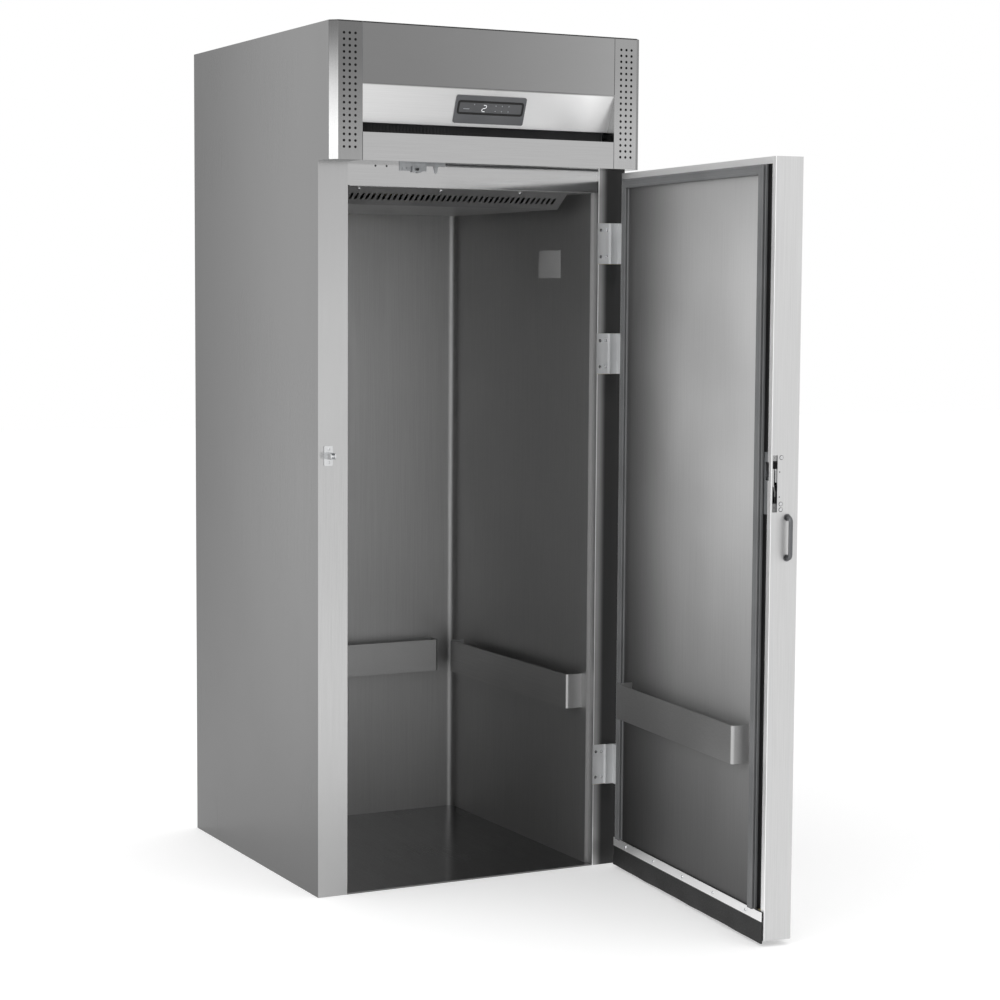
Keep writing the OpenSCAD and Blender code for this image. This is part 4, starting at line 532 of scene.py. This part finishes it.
def window_border():
    """Black printed frame: a rounded outline and the same outline drawn in, joined over the window's edge."""
    outer = rounded_outline(*BORDER_HALF, BORDER_R)
    inner = rounded_outline(BORDER_HALF[0] - BORDER_W, BORDER_HALF[1] - BORDER_W, BORDER_R - BORDER_W)
    low, high = np.zeros(len(outer)), np.full(len(outer), BORDER_T)
    loops = [(outer, low), (outer, high), (inner, high), (inner, low), (outer, low)]
    rings = np.stack([on_window(*loop.T, height) for loop, height in loops])
    new_piece("window_border", rings.reshape(-1, 3), ring_faces(len(loops), len(outer)).tolist(), black_ink,
              "cabinet")


window_border()

# Blank label on the right wall of the cold room

LINER_T = 1 * MM
WALL_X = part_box("liner")[1][0] - LINER_T
LABEL, LABEL_T = rectangle(-254, 1545, -132, 1618), 0.3 * MM


def on_right_wall(u, v, height):
    """Point on the right wall: u is its Y, v its Z and height its reach into the room."""
    return np.stack([WALL_X - height, u, v], -1)


slab("blank_label", LABEL, LABEL_T, on_right_wall, label_film, "cabinet")

# Fasteners: their profiles and places are in millimetres

PAN_HEAD = [(4, 0), (4, 1), (3.2, 2), (1.8, 2.5), (1.1, 2.5), (0.8, 1.5)]
FLUSH_HEAD = [(4.2, 0), (4.2, 0.15), (3.6, 0.3), (1.2, 0.3), (0.9, 0.1)]
HOLE_PLUG = [(2.6, 0), (2.6, 0.2), (2.0, 0.35), (0.6, 0.35)]
HINGE_FOOT_Z, HINGE_SCREW_X, HINGE_SCREW_UP = (163, 1243, 1527), (361, 378), (72, 140)
PANEL_SCREW_Z, GRILLE_SCREW_Z, REAR_SCREW_X = (60, 500, 940, 1380, 1760), (1860, 1990, 2120), (-418, 418)
HEADER_HOLE_X, HEADER_HOLE_Z = (-278, -248), 1812

hinge_z = [foot + up for foot in HINGE_FOOT_Z for up in HINGE_SCREW_UP]
turned("hinge_plate_screws", FLUSH_HEAD, [(x * MM, FRONT_Y, z * MM) for x in HINGE_SCREW_X for z in hinge_z],
       (0, -1, 0), bright_steel, "cabinet")
rear_z = PANEL_SCREW_Z + GRILLE_SCREW_Z
turned("rear_panel_screws", PAN_HEAD, [(x * MM, BACK_Y, z * MM) for x in REAR_SCREW_X for z in rear_z],
       (0, 1, 0), bright_steel, "cabinet")
turned("header_hole_plugs", HOLE_PLUG, [(x * MM, FRONT_Y, HEADER_HOLE_Z * MM) for x in HEADER_HOLE_X],
       (0, -1, 0), moulded_black, "cabinet")

# Dark washers under the screws beside the latch's slot, and two small plugs between them

WASHER = [(5.2, -0.2), (5.2, 0.1), (4.9, 0.2)]
PILOT_PLUG = [(1.5, -0.2), (1.5, 0.1), (1.2, 0.2)]
# Depth from the door's inner face, and heights, in millimetres
LATCH_SCREWS, LATCH_PILOTS = (26, (1133, 1027, 1014)), (22, (1100, 1043))


def on_door_edge(depth, heights):
    """Places on the door's free edge, at one depth and several heights, in millimetres."""
    return [hung((DOOR_EDGE_X, DOOR_IN_Y - depth * MM, z * MM)) for z in heights]


turned("latch_screw_washers", WASHER, on_door_edge(*LATCH_SCREWS), -DOOR_ACROSS, moulded_black, "door")
turned("latch_pilot_plugs", PILOT_PLUG, on_door_edge(*LATCH_PILOTS), -DOOR_ACROSS, moulded_black, "door")

# Grey strip between header and fascia, from the door switch to the right end of the panel: painted shade for
# the dark gap under the fascia

SHADE_STRIP_X = (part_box("door_switch")[1][0] + 3 * MM, PANEL_X)
SHADE_STRIP_H, SHADE_STRIP_T = 3 * MM, 2 * MM


def fascia_shade_strip():
    """Half round against the header, carried along X: a grey strip that paints the shade under the fascia."""
    turn = np.linspace(0, math.pi, 9)
    z = HEADER_TOP - SHADE_STRIP_H / 2 * (1 - np.cos(turn))
    y = FRONT_Y - SHADE_STRIP_T * np.sin(turn)
    rings = np.stack([np.stack([np.full_like(y, x), y, z], -1) for x in SHADE_STRIP_X])
    tube("fascia_shade_strip", rings, gasket_rubber, "cabinet")


fascia_shade_strip()

# Joints between the fascia's panels and posts

SEAM_HALF, SEAM_T = 0.7 * MM, 0.25 * MM
SEAM_Z = {1: (LOWER_LOW[2], LOWER_HIGH[2]), 2: (STRIP_TOP, TOP_Z - 1 * MM)}


def seam_beads():
    """Fine bead over each joint between post and panel: a half ellipse carried up the joint."""
    turn = np.linspace(0, math.pi, 7)
    u, v = SEAM_HALF * np.cos(turn), SEAM_T * np.sin(turn)
    for name, x in (("left", -PANEL_X), ("right", PANEL_X)):
        for number, ends in SEAM_Z.items():
            rings = np.stack([np.stack([x + u, FASCIA_Y - v, np.full_like(u, z)], -1) for z in ends])
            finish = gasket_rubber if (name, number) == ("left", 2) else sweep_rubber
            tube(f"seam_bead_{name}_{number}", rings, finish, "cabinet")


seam_beads()

# Behind the fascia: the air filter in the gap under the display, whose dark cloth also paints the shade in
# that gap, and fly mesh behind the posts' holes

FILTER_X, FILTER_Y, FILTER_Z = PANEL_X - 3 * MM, -461 * MM, (1862 * MM, 1932 * MM)
PLEAT_PITCH, PLEAT_DEPTH, FILTER_T = 9 * MM, 9 * MM, 1.5 * MM
MESH_X, MESH_Y, MESH_Z = (356 * MM, 408 * MM), FASCIA_Y + 1.6 * MM, (1836 * MM, 2142 * MM)
MESH_BOW, MESH_T = 1.5 * MM, 0.6 * MM


def upright_cloth(name, x, front, thickness, ends, finish):
    """Cloth that follows a line of x and front in plan, the same at every height between its two ends."""
    foot, head = np.full((2, len(x)), np.array(ends)[:, None])
    back = front + thickness
    corners = [(front, foot), (front, head), (back, head), (back, foot)]
    rings = np.stack([np.stack([x, y, z], -1) for y, z in corners], 1)
    tube(name, rings, finish, "cabinet")


def pleated_filter():
    """Cloth whose depth follows a triangle wave along X."""
    folds = int(2 * FILTER_X / PLEAT_PITCH) * 2
    x = np.linspace(-FILTER_X, FILTER_X, folds + 1)
    front = FILTER_Y + np.where(np.arange(folds + 1) % 2, PLEAT_DEPTH, 0.0)
    upright_cloth("pleated_air_filter", x, front, FILTER_T, FILTER_Z, filter_cloth)


def fly_mesh(name, side):
    """Cloth behind one post that bows inwards by a sine between its two long edges."""
    across = np.linspace(0, 1, 13)
    x = side * (MESH_X[0] + across * (MESH_X[1] - MESH_X[0]))
    front = MESH_Y + MESH_BOW * np.sin(across * math.pi)
    upright_cloth(name, x, front, MESH_T, MESH_Z, mesh_cloth)


pleated_filter()
fly_mesh("fly_mesh_left", -1)
fly_mesh("fly_mesh_right", 1)

# Studio: a pale floor, a white surround, and soft lamps

FLOOR_HALF = 20
FLOOR_LIFT = 0.26
SURROUND = 0.85


def seen_rays(tree):
    """1 for rays from the camera, from metal and through glass, and 0 for light that falls on the object."""
    path = add(tree, "LightPath").outputs
    metal = add(tree, "Math", {0: path["Is Camera Ray"], 1: path["Is Glossy Ray"]}, operation="MAXIMUM")
    glass = {0: metal.outputs[0], 1: path["Is Transmission Ray"]}
    return add(tree, "Math", glass, operation="MAXIMUM").outputs[0]


def studio_floor():
    """Matt floor, lifted to white for the rays that see it, on which the object's shadow stays."""
    material, tree = blank_material("pale_studio_floor")
    matt = add(tree, "BsdfPrincipled", {
        "Base Color": linear("#f2f2f2"), "Roughness": 0.9, "Specular IOR Level": 0.1})
    lift = add(tree, "Math", {0: seen_rays(tree), 1: FLOOR_LIFT}, operation="MULTIPLY")
    glow = add(tree, "Emission", {"Color": (1, 1, 1, 1), "Strength": lift.outputs[0]})
    both = add(tree, "AddShader", {0: matt.outputs[0], 1: glow.outputs[0]})
    add(tree, "OutputMaterial", {"Surface": both.outputs[0]})
    corners = [(x * FLOOR_HALF, y * FLOOR_HALF, 0) for x, y in ((-1, -1), (1, -1), (1, 1), (-1, 1))]
    mesh = bpy.data.meshes.new("studio_floor")
    mesh.from_pydata(corners, [], [(0, 1, 2, 3)])
    mesh.materials.append(material)
    floor = bpy.data.objects.new("studio_floor", mesh)
    bpy.context.scene.collection.objects.link(floor)


def studio_world():
    """White to the camera, metal and glass, and an even pale grey for the light that falls on the object."""
    world = bpy.data.worlds.new("studio")
    world.use_nodes = True
    tree = world.node_tree
    tree.nodes.clear()
    strength = add(tree, "Mix", {0: seen_rays(tree), 2: SURROUND, 3: 1.0}, data_type="FLOAT").outputs[0]
    sky = add(tree, "Background", {"Color": (1, 1, 1, 1), "Strength": strength})
    add(tree, "OutputWorld", {"Surface": sky.outputs[0]})
    bpy.context.scene.world = world


def stand(name, data, place, right, up, back):
    """A lamp or camera at a place, with the three directions of its own axes."""
    made = bpy.data.objects.new(name, data)
    made.matrix_world = Matrix([[right[i], up[i], back[i], place[i]] for i in range(3)] + [[0, 0, 0, 1]])
    bpy.context.scene.collection.objects.link(made)
    return made


def lamp(name, place, target, size, power):
    """A square soft box at a place, facing a target."""
    light = bpy.data.lights.new(name, "AREA")
    light.size = size
    light.energy = power
    stand(name, light, place, *frame_along(np.array(place) - target))


studio_floor()
studio_world()
lamp("left_lamp", (-4.8, -1.3, 2.6), (0.35, -1.1, 1.3), 3.0, 60)
lamp("key_lamp", (-3.6, -3.6, 3.4), (0.4, -0.8, 1.1), 4.0, 26)
lamp("fill_lamp", (3.6, -5.6, 3.2), (0.2, -0.5, 1.1), 4.0, 14)
lamp("top_lamp", (0.0, -1.0, 5.0), (0.0, -0.4, 1.0), 4.0, 24)

# Camera: solved from the photograph's own perspective

CAMERA_AT = (-2.67247, -5.72819, 1.48375)
YAW, PITCH, ROLL = np.radians([27.406, 4.854, 0.370])
LENS, SENSOR = 84.447, 36.0


def photo_camera():
    """Camera turned right by the yaw, down by the pitch, and then about its line of sight by the roll."""
    ahead = np.array([math.sin(YAW) * math.cos(PITCH), math.cos(YAW) * math.cos(PITCH), -math.sin(PITCH)])
    right = np.cross(ahead, (0, 0, 1))
    right /= np.linalg.norm(right)
    up = np.cross(right, ahead)
    data = bpy.data.cameras.new("photo_camera")
    data.lens, data.sensor_width = LENS, SENSOR
    x = right * math.cos(ROLL) + up * math.sin(ROLL)
    y = up * math.cos(ROLL) - right * math.sin(ROLL)
    bpy.context.scene.camera = stand("photo_camera", data, CAMERA_AT, x, y, -ahead)


photo_camera()
bpy.context.scene.view_settings.view_transform = "Standard"
